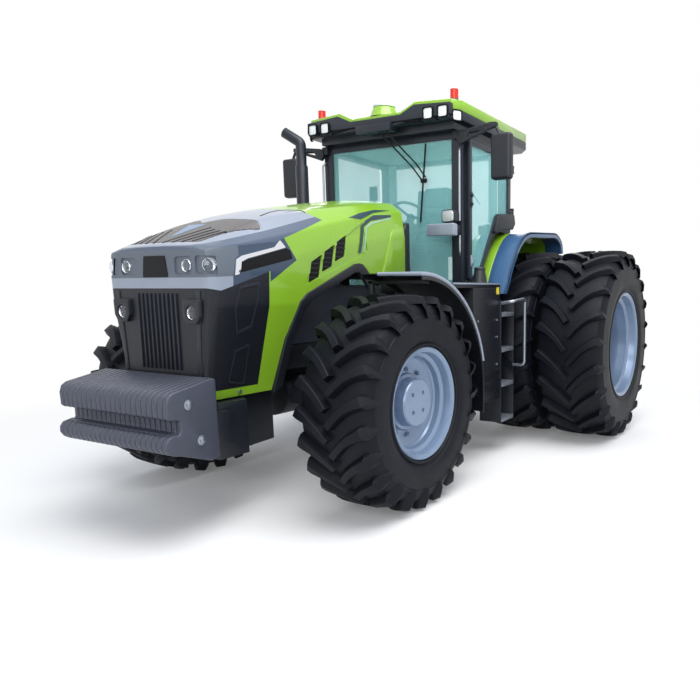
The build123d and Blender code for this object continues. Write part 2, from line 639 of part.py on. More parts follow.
# where the hood is divided, as lines in X, from the front axle, and Z
ARCH_REAR = [(CAB_FRONT + 430, 1741), (CAB_FRONT + 570, 1735)]
ARCH_LINE = ahead([(-540, 1677), (-460, 1762), (-400, 1808), (-360, 1816), (-300, 1808), (255, 1578),
                   (325, 1520),
                   (430, 1250), (490, HOOD_FOOT - 15)])
TRIM_LINE = ahead([(-495, 1600), (-390, 1718), (-350, 1744), (-300, 1740), (205, 1530), (262, 1478),
                   (362, 1235),
                   (408, HOOD_FOOT + 20)])
COVER_LINE = ahead([(1150, 1846), (520, 1932), (-50, 2146)])
COVER_BACK = [(WHEELBASE - 55, 500), (WHEELBASE + 130, 385), (WHEELBASE + 200, 200), (WHEELBASE + 215, 0)]
NOSE_LINE = ahead([(1150, 1625), (1000, 1600), (595, 1731), (597, 1658), (345, 1813), (440, 1962),
                   (440, 2200),
                   (1150, 2200)])
GRILLE_LINE = ahead([(1150, 2200), (400, 2200), (605, 1735), (625, 945), (1150, 945)])
# the front corner that swings past the weights
FRONT_CORNER = ahead([(975, HOOD_FOOT - 20), (1100, HOOD_FOOT + 178), (1100, HOOD_FOOT - 20)])
RECESS = ahead([(262, 1640), (225, 1716), (-150, 1985), (-440, 2145), (-480, 1925), (-400, 1875)])
VENT = ahead([(72, 1870), (108, 1700), (222, 1652), (196, 1806)])
VENTS = 3
VENT_STEP = (-148, 82)    # from one vent to the next
REAR_BOX = [(CAB_FRONT + 860, 1715), (CAB_FRONT + 720, 2070), (CAB_FRONT + 680, 2115),
            (CAB_FRONT + 515, 2150),
            (CAB_FRONT + 515, 1760), (CAB_FRONT + 560, 1745)]


def zone(points, low=-700, high=700):
    """The space over a side outline, from low to high along Y."""
    return side_plate(points, low, high)


def sides(points):
    """The spaces over a side outline on both sides of the hood, clear of its middle."""
    return zone(points, 250, 700) + zone(points, -700, -250)


def arch_trims():
    """The thick trim along each wheel arch, under the shell's edge."""
    band = sides(ARCH_LINE + list(reversed(TRIM_LINE)))
    return Compound(children=((band & hood_form(-TRIM_PROUD)) - hood_form(TRIM_DEPTH)).solids())


def nose_lamps():
    """Four round lamps: two in the nose's front face and one round each corner."""
    front, corner = HOOD_SECTIONS[0], HOOD_SECTIONS[1]
    x, z = front[0], 1756
    turn = Vector(corner[0] - x, corner[2] - front[2], 0).normalized()
    out = Vector(turn.Y, -turn.X, 0)
    middle = Vector((x + corner[0]) / 2, (front[2] + corner[2]) / 2, z)
    start, end = middle - out * 22, middle + out * 6
    found = None
    for side in (1, -1):
        pair = bar_x(x - 20, x + 6, side * 300, z, NOSE_LAMP_RADIUS)
        pair += rod((start.X, side * start.Y, z), (end.X, side * end.Y, z), NOSE_LAMP_RADIUS)
        found = pair if found is None else found + pair
    return found


def grille_details():
    """The ribs up the middle of the grille and the round work lamp on each side of them."""
    x = HOOD_SECTIONS[0][0]
    found = None
    for i in range(GRILLE_RIBS):
        y = (i - (GRILLE_RIBS - 1) / 2) * GRILLE_RIB_PITCH
        rib = block(x - 10, x + 10, y - 6, y + 6, 1090, 1580)
        found = rib if found is None else found + rib
    for side in (1, -1):
        found += bar_x(x - 30, x + 8, side * 345, 1460, WORK_LAMP_RADIUS)
    return found


def hood():
    """The hood's panels: grey cover, green shell, lamp nose and grille."""
    skin = hood_skin() - zone(ARCH_REAR + ARCH_LINE + [(WHEELBASE + 485, HOOD_LOWEST),
                                                       (ARCH_REAR[0][0], HOOD_LOWEST)])
    skin -= zone(FRONT_CORNER)
    far = WHEELBASE + 1150
    back = COVER_BACK + [(x, -y) for x, y in reversed(COVER_BACK[:-1])]
    plan = flat_plate([(far, -700), (far, 700), (back[0][0], 700)] + back + [(back[0][0], -700)], 1500,
                      HOOD_HIGHEST)
    cover_zone = zone(COVER_LINE + [(COVER_LINE[-1][0], HOOD_HIGHEST), (far, HOOD_HIGHEST)]) & plan
    nose_zone, grille_zone = zone(NOSE_LINE), zone(GRILLE_LINE)
    cover = skin & cover_zone
    rest = skin - cover_zone
    nose = (rest & nose_zone) + nose_lamps()
    rest -= nose_zone
    grille = (rest & grille_zone) + grille_details()
    shell = rest - grille_zone
    shell += (sides(REAR_BOX) & hood_form(-RAISED_BOX)) - hood_form(HOOD_SKIN / 2)
    shell -= sides(RECESS) - hood_form(RECESS_DEPTH)
    deep = hood_form(VENT_DEPTH)
    for k in range(VENTS):
        shell -= sides([(x + k * VENT_STEP[0], z + k * VENT_STEP[1]) for x, z in VENT]) - deep
    shell += bar_y(HOOD_HINGE_X, HOOD_HINGE_Z, -HOOD_HINGE_REACH, HOOD_HINGE_REACH, HINGE_PIN)
    return cover, shell, nose, grille


# ---------------------------------------------------------------- cab
def side_hoop():
    """The left side of the cab, pillars and rails round its doorway, standing on the fender."""
    y0, y1 = CAB_HALF_WIDTH - PILLAR_WIDTH, CAB_HALF_WIDTH
    seat_line = [(x + 8, z + 8) for x, z in REAR_FENDER_OUTLINE[:3]]
    rest_z = fender_top(CAB_REAR) + GAP
    outer = [(CAB_FRONT, CAB_FLOOR_Z), (CAB_FRONT, CAB_TOP), (CAB_REAR, CAB_TOP), (CAB_REAR, rest_z)]
    outer += list(reversed(seat_line))
    w = PILLAR_DEPTH
    hole = [(CAB_FRONT - w, SILL_TOP), (CAB_FRONT - w, CAB_TOP - RAIL_HEIGHT),
            (CAB_REAR + w, CAB_TOP - RAIL_HEIGHT),
            (CAB_REAR + w, rest_z + w), (seat_line[2][0] + w * 0.8, seat_line[2][1] + w * 0.9),
            (seat_line[1][0] + w, seat_line[1][1] + w * 0.4), (seat_line[0][0] + w, SILL_TOP)]
    return side_plate(outer, y0, y1) - side_plate(hole, y0 - 5, y1 + 5, radius=25)


def fender_top(x):
    """Height of the rear fender's upper face at a station on its long run."""
    (x0, z0), (x1, z1) = REAR_FENDER_OUTLINE[2], REAR_FENDER_OUTLINE[3]
    return z0 + (x - x0) * (z1 - z0) / (x1 - x0)


def rear_opening():
    """The rear window's opening, narrow between the wheel boxes and wide above them."""
    low, wide, w = REAR_FENDER_INNER_Y - 60, CAB_HALF_WIDTH - PILLAR_WIDTH, PILLAR_DEPTH
    step, top = fender_top(CAB_REAR) + w, CAB_TOP - RAIL_HEIGHT
    half = [(low, SILL_TOP + 60), (low, step), (wide, step), (wide, top)]
    return half + [(-y, z) for y, z in reversed(half)]


def cab_frame():
    """Both side hoops with the front and rear frames that join them."""
    half, d = CAB_HALF_WIDTH, PILLAR_DEPTH
    hoop = side_hoop()
    shape = hoop + other_side(hoop)
    for z in DOOR_HINGE_HEIGHTS:
        for end in (1, -1):
            low, high = sorted((z + end * (DOOR_BARREL_HALF + GAP), z + end * (DOOR_BARREL_HALF + 20)))
            shape += block(DOOR_HINGE_X - 16, DOOR_HINGE_X + 16, CAB_HALF_WIDTH - 5, DOOR_HINGE_Y + 12, low,
                           high)
        shape += bar_z(DOOR_HINGE_X, DOOR_HINGE_Y, z - DOOR_BARREL_HALF - 20, z + DOOR_BARREL_HALF + 20,
                       DOOR_PIN_RADIUS)
    shape += block(CAB_FRONT - d, CAB_FRONT, -half, half, CAB_TOP - RAIL_HEIGHT, CAB_TOP)
    shape += block(CAB_FRONT - d, CAB_FRONT, -half, half, CAB_FLOOR_Z, SILL_TOP)
    inner, step = REAR_FENDER_INNER_Y - GAP, fender_top(CAB_REAR) + GAP
    right = [(inner, CAB_FLOOR_Z), (inner, step), (half, step), (half, CAB_TOP)]
    back = end_plate(right + [(-y, z) for y, z in reversed(right)], CAB_REAR, CAB_REAR + d)
    return shape + (back - end_plate(rear_opening(), CAB_REAR - 5, CAB_REAR + d + 5))


def cab_floor():
    """The floor pan, narrow between the wheel boxes, on its pedestal over the gearbox."""
    half, narrow = CAB_HALF_WIDTH, REAR_FENDER_INNER_Y - GAP
    plan = [(CAB_REAR, -narrow), (FLOOR_STEP_X, -narrow), (FLOOR_STEP_X, -half), (CAB_FRONT, -half),
            (CAB_FRONT, half), (FLOOR_STEP_X, half), (FLOOR_STEP_X, narrow), (CAB_REAR, narrow)]
    shape = flat_plate(plan, CAB_FLOOR_Z - CAB_FLOOR_THICKNESS, CAB_FLOOR_Z - GAP)
    under = CAB_FLOOR_Z - CAB_FLOOR_THICKNESS
    shape += block(CAB_REAR - 80, REAR_HOUSING_REACH, -220, 220, REAR_HOUSING_TOP + GAP, under)
    shape += block(CAB_REAR - 80, CAB_REAR + 5, -220, 220, under, CAB_FLOOR_Z - GAP)
    for side in (1, -1):
        near, far = sorted((side * 60, side * 220))
        shape += block(CAB_FRONT - 240, CAB_FRONT - 90, near, far, GEARBOX_TOP + GAP, CAB_FLOOR_Z - 10)
    return shape


def cab_glass():
    """Windscreen, rear window and right-hand window, as flat panes in their frames."""
    half, w, g, t = CAB_HALF_WIDTH, PILLAR_WIDTH, GAP, GLASS_THICKNESS
    low, high = SILL_TOP + g, CAB_TOP - RAIL_HEIGHT - g
    inner = half - w - g
    screen = block(CAB_FRONT - 20, CAB_FRONT - 20 + t, -inner, inner, low, high)
    pane = [(y - g if y > 0 else y + g, z + (g if z < CAB_TOP - RAIL_HEIGHT else -g))
            for y, z in rear_opening()]
    rear = end_plate(pane, CAB_REAR + 20, CAB_REAR + 20 + t)
    right = side_plate(DOOR_LINE, -half - g - t, -half - g, radius=30)
    return Compound(children=[screen, rear, right])


DOOR_LINE = [(CAB_FRONT - 70, SILL_TOP + 40), (CAB_FRONT - 260, SILL_TOP + 40),
             (CAB_FRONT - 440, SILL_TOP + 310),
             (CAB_FRONT - 650, SILL_TOP + 630), (CAB_REAR + 120, SILL_TOP + 660),
             (CAB_REAR + 120, CAB_TOP - 70),
             (CAB_FRONT - 70, CAB_TOP - 70)]
# where each corner of the door's pane lies from the door's own corner, in widths of its frame
DOOR_INSETS = [(-1, 1), (0.4, 1), (1, 0.6), (0.9, 1), (1, 1), (1, -1), (-1, -1)]


def door():
    """The left door: a frame round one pane, hinged at its rear edge."""
    y0 = CAB_HALF_WIDTH + DOOR_GAP
    y1 = y0 + DOOR_THICKNESS
    panel = side_plate(DOOR_LINE, y0, y1, radius=30)
    w = DOOR_FRAME_WIDTH
    hole_line = [(x + i * w, z + j * w) for (x, z), (i, j) in zip(DOOR_LINE, DOOR_INSETS)]
    frame = panel - side_plate(hole_line, y0 - 5, y1 + 5, radius=24)
    bore = DOOR_PIN_RADIUS + SHAFT_GAP
    for z in DOOR_HINGE_HEIGHTS:
        low, high = z - DOOR_BARREL_HALF, z + DOOR_BARREL_HALF
        frame += block(DOOR_HINGE_X, DOOR_LINE[4][0] + 20, DOOR_HINGE_Y - 6, DOOR_HINGE_Y + 6, low, high)
        frame += bar_z(DOOR_HINGE_X, DOOR_HINGE_Y, low, high, DOOR_BARREL_RADIUS)
        frame -= bar_z(DOOR_HINGE_X, DOOR_HINGE_Y, low - 5, high + 5, bore)
    middle, half = (y0 + y1) / 2, GLASS_THICKNESS / 2
    pane = side_plate(hole_line, middle - half, middle + half, radius=24)
    return frame, pane


def roof():
    """The roof's dark lower part with its lamp brow, and the coloured skin on top."""
    half = ROOF_HALF_WIDTH
    plan = [(ROOF_REAR, -half + 120), (ROOF_REAR + 160, -half), (ROOF_FRONT - 90, -half),
            (ROOF_FRONT, -half + 60),
            (ROOF_FRONT + 30, 0), (ROOF_FRONT, half - 60), (ROOF_FRONT - 90, half), (ROOF_REAR + 160, half),
            (ROOF_REAR, half - 120)]
    low = CAB_TOP + GAP
    lower = flat_plate(plan, low + 60, ROOF_DIP_Z - ROOF_SKIN_HEIGHT)
    inset = [(CAB_REAR - 60, -half + 100), (CAB_FRONT + 80, -half + 100), (CAB_FRONT + 80, half - 100),
             (CAB_REAR - 60, half - 100)]
    lower += flat_plate(inset, low, low + 62)
    skin_low = ROOF_DIP_Z - ROOF_SKIN_HEIGHT
    side = [(half, skin_low + GAP), (half, ROOF_PLATEAU_Z - ROOF_SHOULDER_DROP),
            (ROOF_CREST_Y, ROOF_PLATEAU_Z),
            (ROOF_DIP_HALF, ROOF_DIP_Z)]
    profile = side + [(-y, z) for y, z in reversed(side)]
    skin = end_plate(profile, ROOF_REAR, ROOF_FRONT + 30) & flat_plate(plan, low, ROOF_PLATEAU_Z + 50)
    for side in (1, -1):
        for y in ROOF_LAMPS:
            near, far = sorted((side * (y - ROOF_LAMP_HALF), side * (y + ROOF_LAMP_HALF)))
            lower += block(ROOF_FRONT - 30, ROOF_FRONT + 42, near, far, 3122, skin_low)
            lower += block(ROOF_FRONT + 16, ROOF_FRONT + 42, near, far, 3122, 3122 + 2 * ROOF_LAMP_HALF)
    lower += block(ROOF_FRONT - 20, ROOF_FRONT + 75, -200, 200, 3075, 3150)
    skin += Pos(ROOF_FRONT - 125, 0, ROOF_DIP_Z + 45) * Cone(150, 110, 100)
    return lower, skin


def dashboard():
    """The steering console that stands on the floor ahead of the seat, with its column."""
    front = CAB_FRONT - PILLAR_DEPTH - GAP
    profile = [(front, CAB_FLOOR_Z), (front, 2240), (front - 70, 2290), (1200, 2250), (1190, 2190),
               (1280, 2120),
               (1240, CAB_FLOOR_Z)]
    body = side_plate(profile, -150, 150)
    return body + rod((1260, 0, 2180), (1120, 0, 2330), 30)


def steering_wheel():
    """Rim, hub and three spokes, tilted towards the driver."""
    ring = Torus(205, 14)
    hub = Cylinder(42, 40)
    spokes = None
    for angle in (90, 210, 330):
        bar = Rot(0, 0, angle) * Pos(110, 0, 0) * Box(190, 30, 10)
        spokes = bar if spokes is None else spokes + bar
    wheel = ring + hub + spokes
    a, b = Vector(1260, 0, 2180), Vector(1120, 0, 2330)
    direction = (b - a).normalized()
    place = Plane(origin=b + direction * (20 + GAP), z_dir=direction)
    return place.location * wheel


def seat():
    """The driver's seat: pedestal, cushion, backrest and right-hand armrest console."""
    x = 560
    pedestal = block(x + 60, x + 400, -170, 170, CAB_FLOOR_Z, 1980)
    cushion = block(x + 20, x + 500, -250, 250, 1970, 2100)
    back = side_plate([(x + 60, 2080), (x + 140, 2080), (x + 60, 2760), (x - 10, 2780), (x - 40, 2700)],
                      -240, 240)
    console = block(x + 60, x + 560, -400, -270, 2120, 2240) + block(x + 120, x + 260, -400, -240, 1990, 2140)
    return pedestal + cushion + back + console


# ---------------------------------------------------------------- outside fittings
def rear_fender():
    """The left rear fender: a bent skin with the wheel box's wall, and its outer flare."""
    outer = REAR_FENDER_OUTLINE
    t = REAR_FENDER_SKIN
    inner = [(outer[0][0] - t, outer[0][1]), (outer[1][0] - 0.9 * t, outer[1][1] - 0.45 * t),
             (outer[2][0] - 0.5 * t, outer[2][1] - t), (outer[3][0] + 0.2 * t, outer[3][1] - t),
             (outer[4][0] + t, outer[4][1] - 0.6 * t), (outer[5][0] + t, outer[5][1])]
    section = outer + list(reversed(inner))
    skin = side_plate(section, REAR_FENDER_INNER_Y, REAR_FENDER_SPLIT_Y)
    flare = side_plate(section, REAR_FENDER_SPLIT_Y + GAP, REAR_FENDER_OUTER_Y)
    low = REAR_FENDER_LIP
    lip_in = [(outer[0][0] - low, outer[0][1]), (outer[1][0] - low, outer[1][1] - 0.3 * low),
              (outer[2][0] - 0.5 * low, outer[2][1] - low), (outer[3][0] + 0.3 * low, outer[3][1] - low),
              (outer[4][0] + low, outer[4][1] - 0.4 * low), (outer[5][0] + low, outer[5][1])]
    lip = side_plate(outer + list(reversed(lip_in)), REAR_FENDER_OUTER_Y - t, REAR_FENDER_OUTER_Y)
    foot = CAB_FLOOR_Z - CAB_FLOOR_THICKNESS
    wall = side_plate(outer + [(outer[5][0], foot + 240), (-100, foot), (outer[0][0], foot)],
                      REAR_FENDER_INNER_Y, REAR_FENDER_INNER_Y + t)
    return skin + wall, flare + lip


def exhaust():
    """The exhaust stack at the right, with its heat shield and turned-out tip."""
    x, y = EXHAUST_X, -EXHAUST_Y
    top = EXHAUST_SHIELD_TOP
    shape = bar_z(x, y, EXHAUST_SHIELD_FOOT, top, 60) + bar_z(x, y, top - 10, top + 150, 50)
    path = FilletPolyline((x, y, top + 140), (x, y, top + 220), (x + 60, y - 150, top + 320), radius=60)
    tip = sweep(Plane(origin=(x, y, top + 140), z_dir=(0, 0, 1)) * Circle(50), path=path)
    foot = block(x - 60, x + 60, y - 50, y + 50, TANK_TOP + DECK_THICKNESS + GAP, EXHAUST_SHIELD_FOOT)
    return shape + tip + foot


def mirror_arm():
    """The left mirror on its arm from the front pillar."""
    x = CAB_FRONT + GAP
    y, z = CAB_HALF_WIDTH - 40, CAB_TOP - 40
    foot = block(x, x + 40, y - 35, y + 35, z - 40, z + 35)
    arm = rod((x + 20, y, z), (x + 30, MIRROR_Y - 60, z + 30), 20)
    arm += rod((x + 30, MIRROR_Y - 62, z + 30), (x + 30, MIRROR_Y, MIRROR_Z + 150), 14)
    head = Pos(x + 30, MIRROR_Y, MIRROR_Z) * Box(90, 200, 400)
    head = fillet(head.edges(), 30)
    return foot + arm + head


def beacons():
    """The two beacons on the roof's front corners."""
    y, r = BEACON_Y, BEACON_RADIUS
    slope = ROOF_SHOULDER_DROP / (ROOF_HALF_WIDTH - ROOF_CREST_Y)
    seat_z = ROOF_PLATEAU_Z - slope * (y - r - ROOF_CREST_Y) + GAP
    return [bar_z(BEACON_X, side * y, seat_z, seat_z + BEACON_HEIGHT, r) for side in (1, -1)]


def pillar_lamps():
    """A work lamp and a marker lamp on each front pillar."""
    found = []
    for side in (1, -1):
        y = side * (CAB_HALF_WIDTH - 60)
        lamp = fillet((Pos(CAB_FRONT + 110, y, 2275) * Box(80, 130, 110)).edges(), 20)
        marker = block(CAB_FRONT + GAP, CAB_FRONT + 190, y - 50, y + 50, 2120, 2200)
        found.append(lamp + marker + bar_z(CAB_FRONT + 110, y, 2190, 2230, 12))
    return Compound(children=found)


def tank():
    """The left side tank with the platform on top of it and its bracket to the gearbox."""
    step_y, step_z = CAB_HALF_WIDTH + 10, CAB_FLOOR_Z - CAB_FLOOR_THICKNESS - 10
    section = [(TANK_INNER_Y, TANK_BOTTOM), (TANK_OUTER_Y, TANK_BOTTOM), (TANK_OUTER_Y, TANK_TOP),
               (step_y, TANK_TOP),
               (step_y, step_z), (TANK_INNER_Y, step_z)]
    body = end_plate(section, TANK_REAR, TANK_FRONT, radius=8)
    plan = [(TANK_REAR, step_y), (CAB_FRONT + 10, step_y), (CAB_FRONT + 10, DECK_INNER_Y),
            (DECK_FRONT, DECK_INNER_Y),
            (DECK_FRONT, TANK_OUTER_Y), (TANK_REAR, TANK_OUTER_Y)]
    deck = flat_plate(plan, TANK_TOP - 1, TANK_TOP + DECK_THICKNESS)
    bracket = block(TANK_REAR + 60, TANK_REAR + 200, GEARBOX_HALF_WIDTH + GAP, TANK_INNER_Y + 10, 800, 1000)
    for z in TANK_RIDGES:
        body += block(TANK_REAR + 20, TANK_FRONT - 20, TANK_OUTER_Y - 1, TANK_OUTER_Y + 8, z, z + 30)
    return body + deck + bracket


def filler_cap():
    """The filler's cone on the left tank's platform."""
    deck = TANK_TOP + DECK_THICKNESS
    return Pos(TANK_REAR + 215, TANK_OUTER_Y - 105, deck + 60) * Cone(75, 48, 124)


def ladder():
    """The access ladder behind the left tank, with its handrail."""
    front, outer = TANK_REAR - GAP, TANK_OUTER_Y + 10
    shape = block(LADDER_REAR, LADDER_REAR + LADDER_SIDE, outer - STEP_DEPTH, outer, LADDER_FOOT, LADDER_TOP)
    shape += block(front - LADDER_SIDE, front, outer - STEP_DEPTH, outer, LADDER_FOOT, LADDER_TOP)
    for z in STEP_HEIGHTS:
        shape += block(LADDER_REAR, front, outer - STEP_DEPTH, outer, z - STEP_THICKNESS, z)
    rail_x, rail_y = LADDER_REAR + 18, outer + HANDRAIL_REACH
    path = FilletPolyline((front - 20, outer - 5, LADDER_TOP - 25), (front - 20, rail_y, LADDER_TOP - 5),
                          (rail_x, rail_y, LADDER_TOP + 15), (rail_x, rail_y, HANDRAIL_BOTTOM),
                          (rail_x, outer - 5, HANDRAIL_BOTTOM), radius=45)
    start = Plane(origin=path @ 0, z_dir=path % 0)
    return shape + sweep(start * Circle(HANDRAIL_RADIUS), path=path)


# ---------------------------------------------------------------- rear linkage
def lower_links():
    """The two lower links, joined by the cross shaft they turn on."""
    x0, z0 = LINK_PIVOT_X, LINK_PIVOT_Z
    x1, z1 = -REAR_REACH + BALL_RADIUS, LINK_END_Z
    t, h = LINK_SECTION
    shape = bar_y(x0, z0, -LINK_PIVOT_Y - t / 2, LINK_PIVOT_Y + t / 2, LINK_SHAFT_RADIUS)
    for side in (1, -1):
        y0, y1 = side * LINK_PIVOT_Y, side * LINK_END_Y
        knee = LIFT_ROD_FOOT_X + 60
        straight = LINK_PIVOT_X - 170
        plan = [(x0, y0 - t / 2), (x0, y0 + t / 2), (straight, y0 + t / 2), (knee, y1 + t / 2),
                (x1, y1 + t / 2),
                (x1, y1 - t / 2), (knee, y1 - t / 2), (straight, y0 - t / 2)]
        low = flat_plate(plan, min(z0, z1) - h, max(z0, z1) + h)
        keep = side_plate([(x0 + 40, z0 - h / 2), (x0 + 40, z0 + h / 2), (x1, z1 + h / 2),
                           (x1, z1 - h / 2)], -900, 900)
        arm = (low & keep) + bar_y(x0, z0, y0 - t / 2, y0 + t / 2, h / 2)
        arm += bar_y(x1, z1, y1 - BALL_WIDTH / 2, y1 + BALL_WIDTH / 2, BALL_RADIUS)
        arm -= bar_y(x1, z1, y1 - BALL_WIDTH, y1 + BALL_WIDTH, BALL_BORE)
        shape += arm
    return shape


def lift_arms():
    """The rocker shaft across the housing's top with its two lift arms."""
    x, z = LIFT_SHAFT_X, LIFT_SHAFT_Z
    tip_x, tip_z = x - LIFT_ARM_REACH, z - LIFT_ARM_DROP
    t = LIFT_ARM_THICKNESS
    shape = bar_y(x, z, -LIFT_ARM_Y - t / 2, LIFT_ARM_Y + t / 2, LIFT_SHAFT_RADIUS)
    for side in (1, -1):
        y0, y1 = side * LIFT_ARM_Y - t / 2, side * LIFT_ARM_Y + t / 2
        arm = side_plate([(x, z - 55), (x, z + 55), (tip_x, tip_z + 36), (tip_x, tip_z - 36)], y0, y1)
        arm += bar_y(x, z, y0, y1, 60) + bar_y(tip_x, tip_z, y0, y1, 36)
        arm -= bar_y(tip_x, tip_z, y0 - 5, y1 + 5, LIFT_PIN_RADIUS + SHAFT_GAP)
        shape += arm
    return shape


def link_z(x):
    """Height of the lower link's middle line at a station."""
    x1 = -REAR_REACH + BALL_RADIUS
    return LINK_PIVOT_Z + (x - LINK_PIVOT_X) * (LINK_END_Z - LINK_PIVOT_Z) / (x1 - LINK_PIVOT_X)


def lift_rods():
    """The two lift rods, from pins in the lift arms down beside the lower links."""
    top = (LIFT_SHAFT_X - LIFT_ARM_REACH, LIFT_SHAFT_Z - LIFT_ARM_DROP)
    foot = (LIFT_ROD_FOOT_X, link_z(LIFT_ROD_FOOT_X))
    t = LIFT_ARM_THICKNESS
    y = LIFT_ARM_Y + t / 2 + GAP + LIFT_ROD_RADIUS + 4
    found = []
    for side in (1, -1):
        near, far = sorted((side * (LIFT_ARM_Y - t / 2 - 4), side * y))
        shape = rod((top[0], side * y, top[1]), (foot[0], side * y, foot[1]), LIFT_ROD_RADIUS)
        for x, z in (top, foot):
            shape += bar_y(x, z, side * y - LIFT_ROD_RADIUS - 4, side * y + LIFT_ROD_RADIUS + 4, 34)
        shape += bar_y(top[0], top[1], near, far, LIFT_PIN_RADIUS)
        found.append(shape)
    return found[0], found[1]


def top_link():
    """The top link, hung up at rest, with an eye at each end."""
    a = radians(TOP_LINK_LEAN)
    x, z = TOP_LINK_X, TOP_LINK_Z
    x1, z1 = x - TOP_LINK_LENGTH * cos(a), z + TOP_LINK_LENGTH * sin(a)
    half = TOP_LINK_EAR_Y - GAP
    shape = rod((x, 0, z), (x1, 0, z1), 20)
    shape += rod((x - 160 * cos(a), 0, z + 160 * sin(a)), (x1 + 160 * cos(a), 0, z1 - 160 * sin(a)), 29)
    shape += bar_y(x, z, -half, half, 33) + bar_y(x, z, -half - 24, half + 24, TOP_LINK_PIN_RADIUS)
    shape += bar_y(x1, z1, -26, 26, 36)
    shape -= bar_y(x1, z1, -40, 40, TOP_LINK_BORE)
    return shape


def build():
    rim, front_tyre = front_wheel()
    rims, rear_tyres = rear_wheels()
    cover, shell, nose, grille = hood()
    door_frame, door_glass = door()
    roof_base, roof_skin = roof()
    rods = lift_rods()
    both_sides = {
        "knuckle": knuckle(), "front_fender": front_fender(), "front_rim": rim, "front_tyre": front_tyre,
        "rear_rims": rims, "rear_tyres": rear_tyres,
    }
    for name, shape in both_sides.items():
        write(name + "_left", shape)
        write(name + "_right", other_side(shape))
    fender, flare = rear_fender()
    pairs = {"rear_fenders": fender, "fender_flares": flare, "mirrors": mirror_arm()}
    for name, shape in pairs.items():
        write(name, Compound(children=[shape, other_side(shape)]))
    single = {
        "front_axle": front_axle(), "tie_rod": tie_rod(), "front_frame": front_frame(), "engine": engine(),
        "transmission": transmission(), "front_weights": front_weights(), "hood_cover": cover,
        "hood_shell": shell, "hood_nose": nose, "hood_grille": grille, "arch_trims": arch_trims(),
        "side_tanks": Compound(children=[tank() + filler_cap(), other_side(tank())]),
        "cab_frame": cab_frame(),
        "cab_floor": cab_floor(), "cab_glass": cab_glass(), "door_frame": door_frame,
        "door_glass": door_glass,
        "roof_base": roof_base, "roof_skin": roof_skin, "dashboard": dashboard(),
        "steering_wheel": steering_wheel(), "seat": seat(), "exhaust": exhaust(),
        "pillar_lamps": pillar_lamps(), "ladder": ladder(), "beacons": Compound(children=beacons()),
        "lower_links": lower_links(), "lift_arms": lift_arms(), "lift_rods": Compound(children=list(rods)),
        "top_link": top_link(),
    }
    for name, shape in single.items():
        write(name, shape)


os.makedirs("parts", exist_ok=True)
build()
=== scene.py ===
import json
import math

import bpy
from mathutils import Matrix, Vector


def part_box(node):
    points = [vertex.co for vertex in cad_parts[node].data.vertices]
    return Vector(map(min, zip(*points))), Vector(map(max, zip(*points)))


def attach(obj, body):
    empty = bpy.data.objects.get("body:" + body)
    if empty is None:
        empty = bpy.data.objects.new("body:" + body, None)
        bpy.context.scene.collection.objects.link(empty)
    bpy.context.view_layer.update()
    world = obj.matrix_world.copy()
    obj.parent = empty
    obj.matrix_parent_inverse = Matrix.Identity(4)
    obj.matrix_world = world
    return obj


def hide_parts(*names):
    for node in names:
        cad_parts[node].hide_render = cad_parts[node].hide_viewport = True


# A farm tractor with twin rear wheels and front weights, dressed in metres over its CAD frame.
# +X is forward, +Y the tractor's left, +Z up. Stations along X are measured from the rear axle.

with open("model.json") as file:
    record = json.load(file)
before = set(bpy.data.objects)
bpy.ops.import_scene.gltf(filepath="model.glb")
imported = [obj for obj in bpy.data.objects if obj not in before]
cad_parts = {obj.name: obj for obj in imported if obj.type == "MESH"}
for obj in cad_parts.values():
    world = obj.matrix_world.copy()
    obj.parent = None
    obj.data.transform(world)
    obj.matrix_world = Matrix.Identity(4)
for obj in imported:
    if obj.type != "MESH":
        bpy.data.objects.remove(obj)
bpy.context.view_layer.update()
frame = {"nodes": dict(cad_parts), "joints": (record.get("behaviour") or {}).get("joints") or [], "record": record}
JOINTS = {joint["name"]: Vector(joint["pos_m"]) for joint in frame["joints"]}
REAR_AXLE = JOINTS["rear_wheels_left_spin"]
FRONT_AXLE = JOINTS["front_wheel_left_spin"]
ORIGIN = Vector((0, 0, 0))


def at(station):
    """The place along X of a station measured forward from the rear axle."""
    return REAR_AXLE.x + station


# ---------------------------------------------------------------- modelling helpers
def only(obj):
    """Makes one object the active and only selected one."""
    bpy.ops.object.select_all(action="DESELECT")
    obj.select_set(True)
    bpy.context.view_layer.objects.active = obj


def edit(obj):
    """Opens one object in edit mode with all of it selected."""
    only(obj)
    bpy.ops.object.mode_set(mode="EDIT")
    bpy.ops.mesh.select_all(action="SELECT")


def draw(points, closed=True):
    """Draws a line point by point in a new object, filled if closed, and stays in edit mode."""
    bpy.ops.object.select_all(action="DESELECT")
    bpy.ops.mesh.primitive_plane_add(size=0.01, location=points[0])
    bpy.ops.object.mode_set(mode="EDIT")
    bpy.ops.mesh.merge(type="CENTER")
    for start, end in zip(points, points[1:]):
        step = [b - a for a, b in zip(start, end)]
        bpy.ops.mesh.extrude_vertices_move(TRANSFORM_OT_translate={"value": step})
    bpy.ops.mesh.select_all(action="SELECT")
    if closed:
        bpy.ops.mesh.edge_face_add()
    return bpy.context.object


def close_up(obj, merge=0.0002):
    """Merges doubled points, turns every face outwards and leaves edit mode."""
    bpy.ops.mesh.select_all(action="SELECT")
    bpy.ops.mesh.remove_doubles(threshold=merge)
    bpy.ops.mesh.normals_make_consistent(inside=False)
    bpy.ops.object.mode_set(mode="OBJECT")
    bpy.ops.object.transform_apply(location=True, rotation=True, scale=True)
    return obj


def prism(points, push):
    """A filled outline extruded by one push."""
    obj = draw(points)
    bpy.ops.mesh.extrude_region_move(TRANSFORM_OT_translate={"value": push})
    return close_up(obj)


def side_plate(outline, y0, y1):
    """An outline of stations and heights, pushed along Y."""
    return prism([(at(x), y0, z) for x, z in outline], (0, y1 - y0, 0))


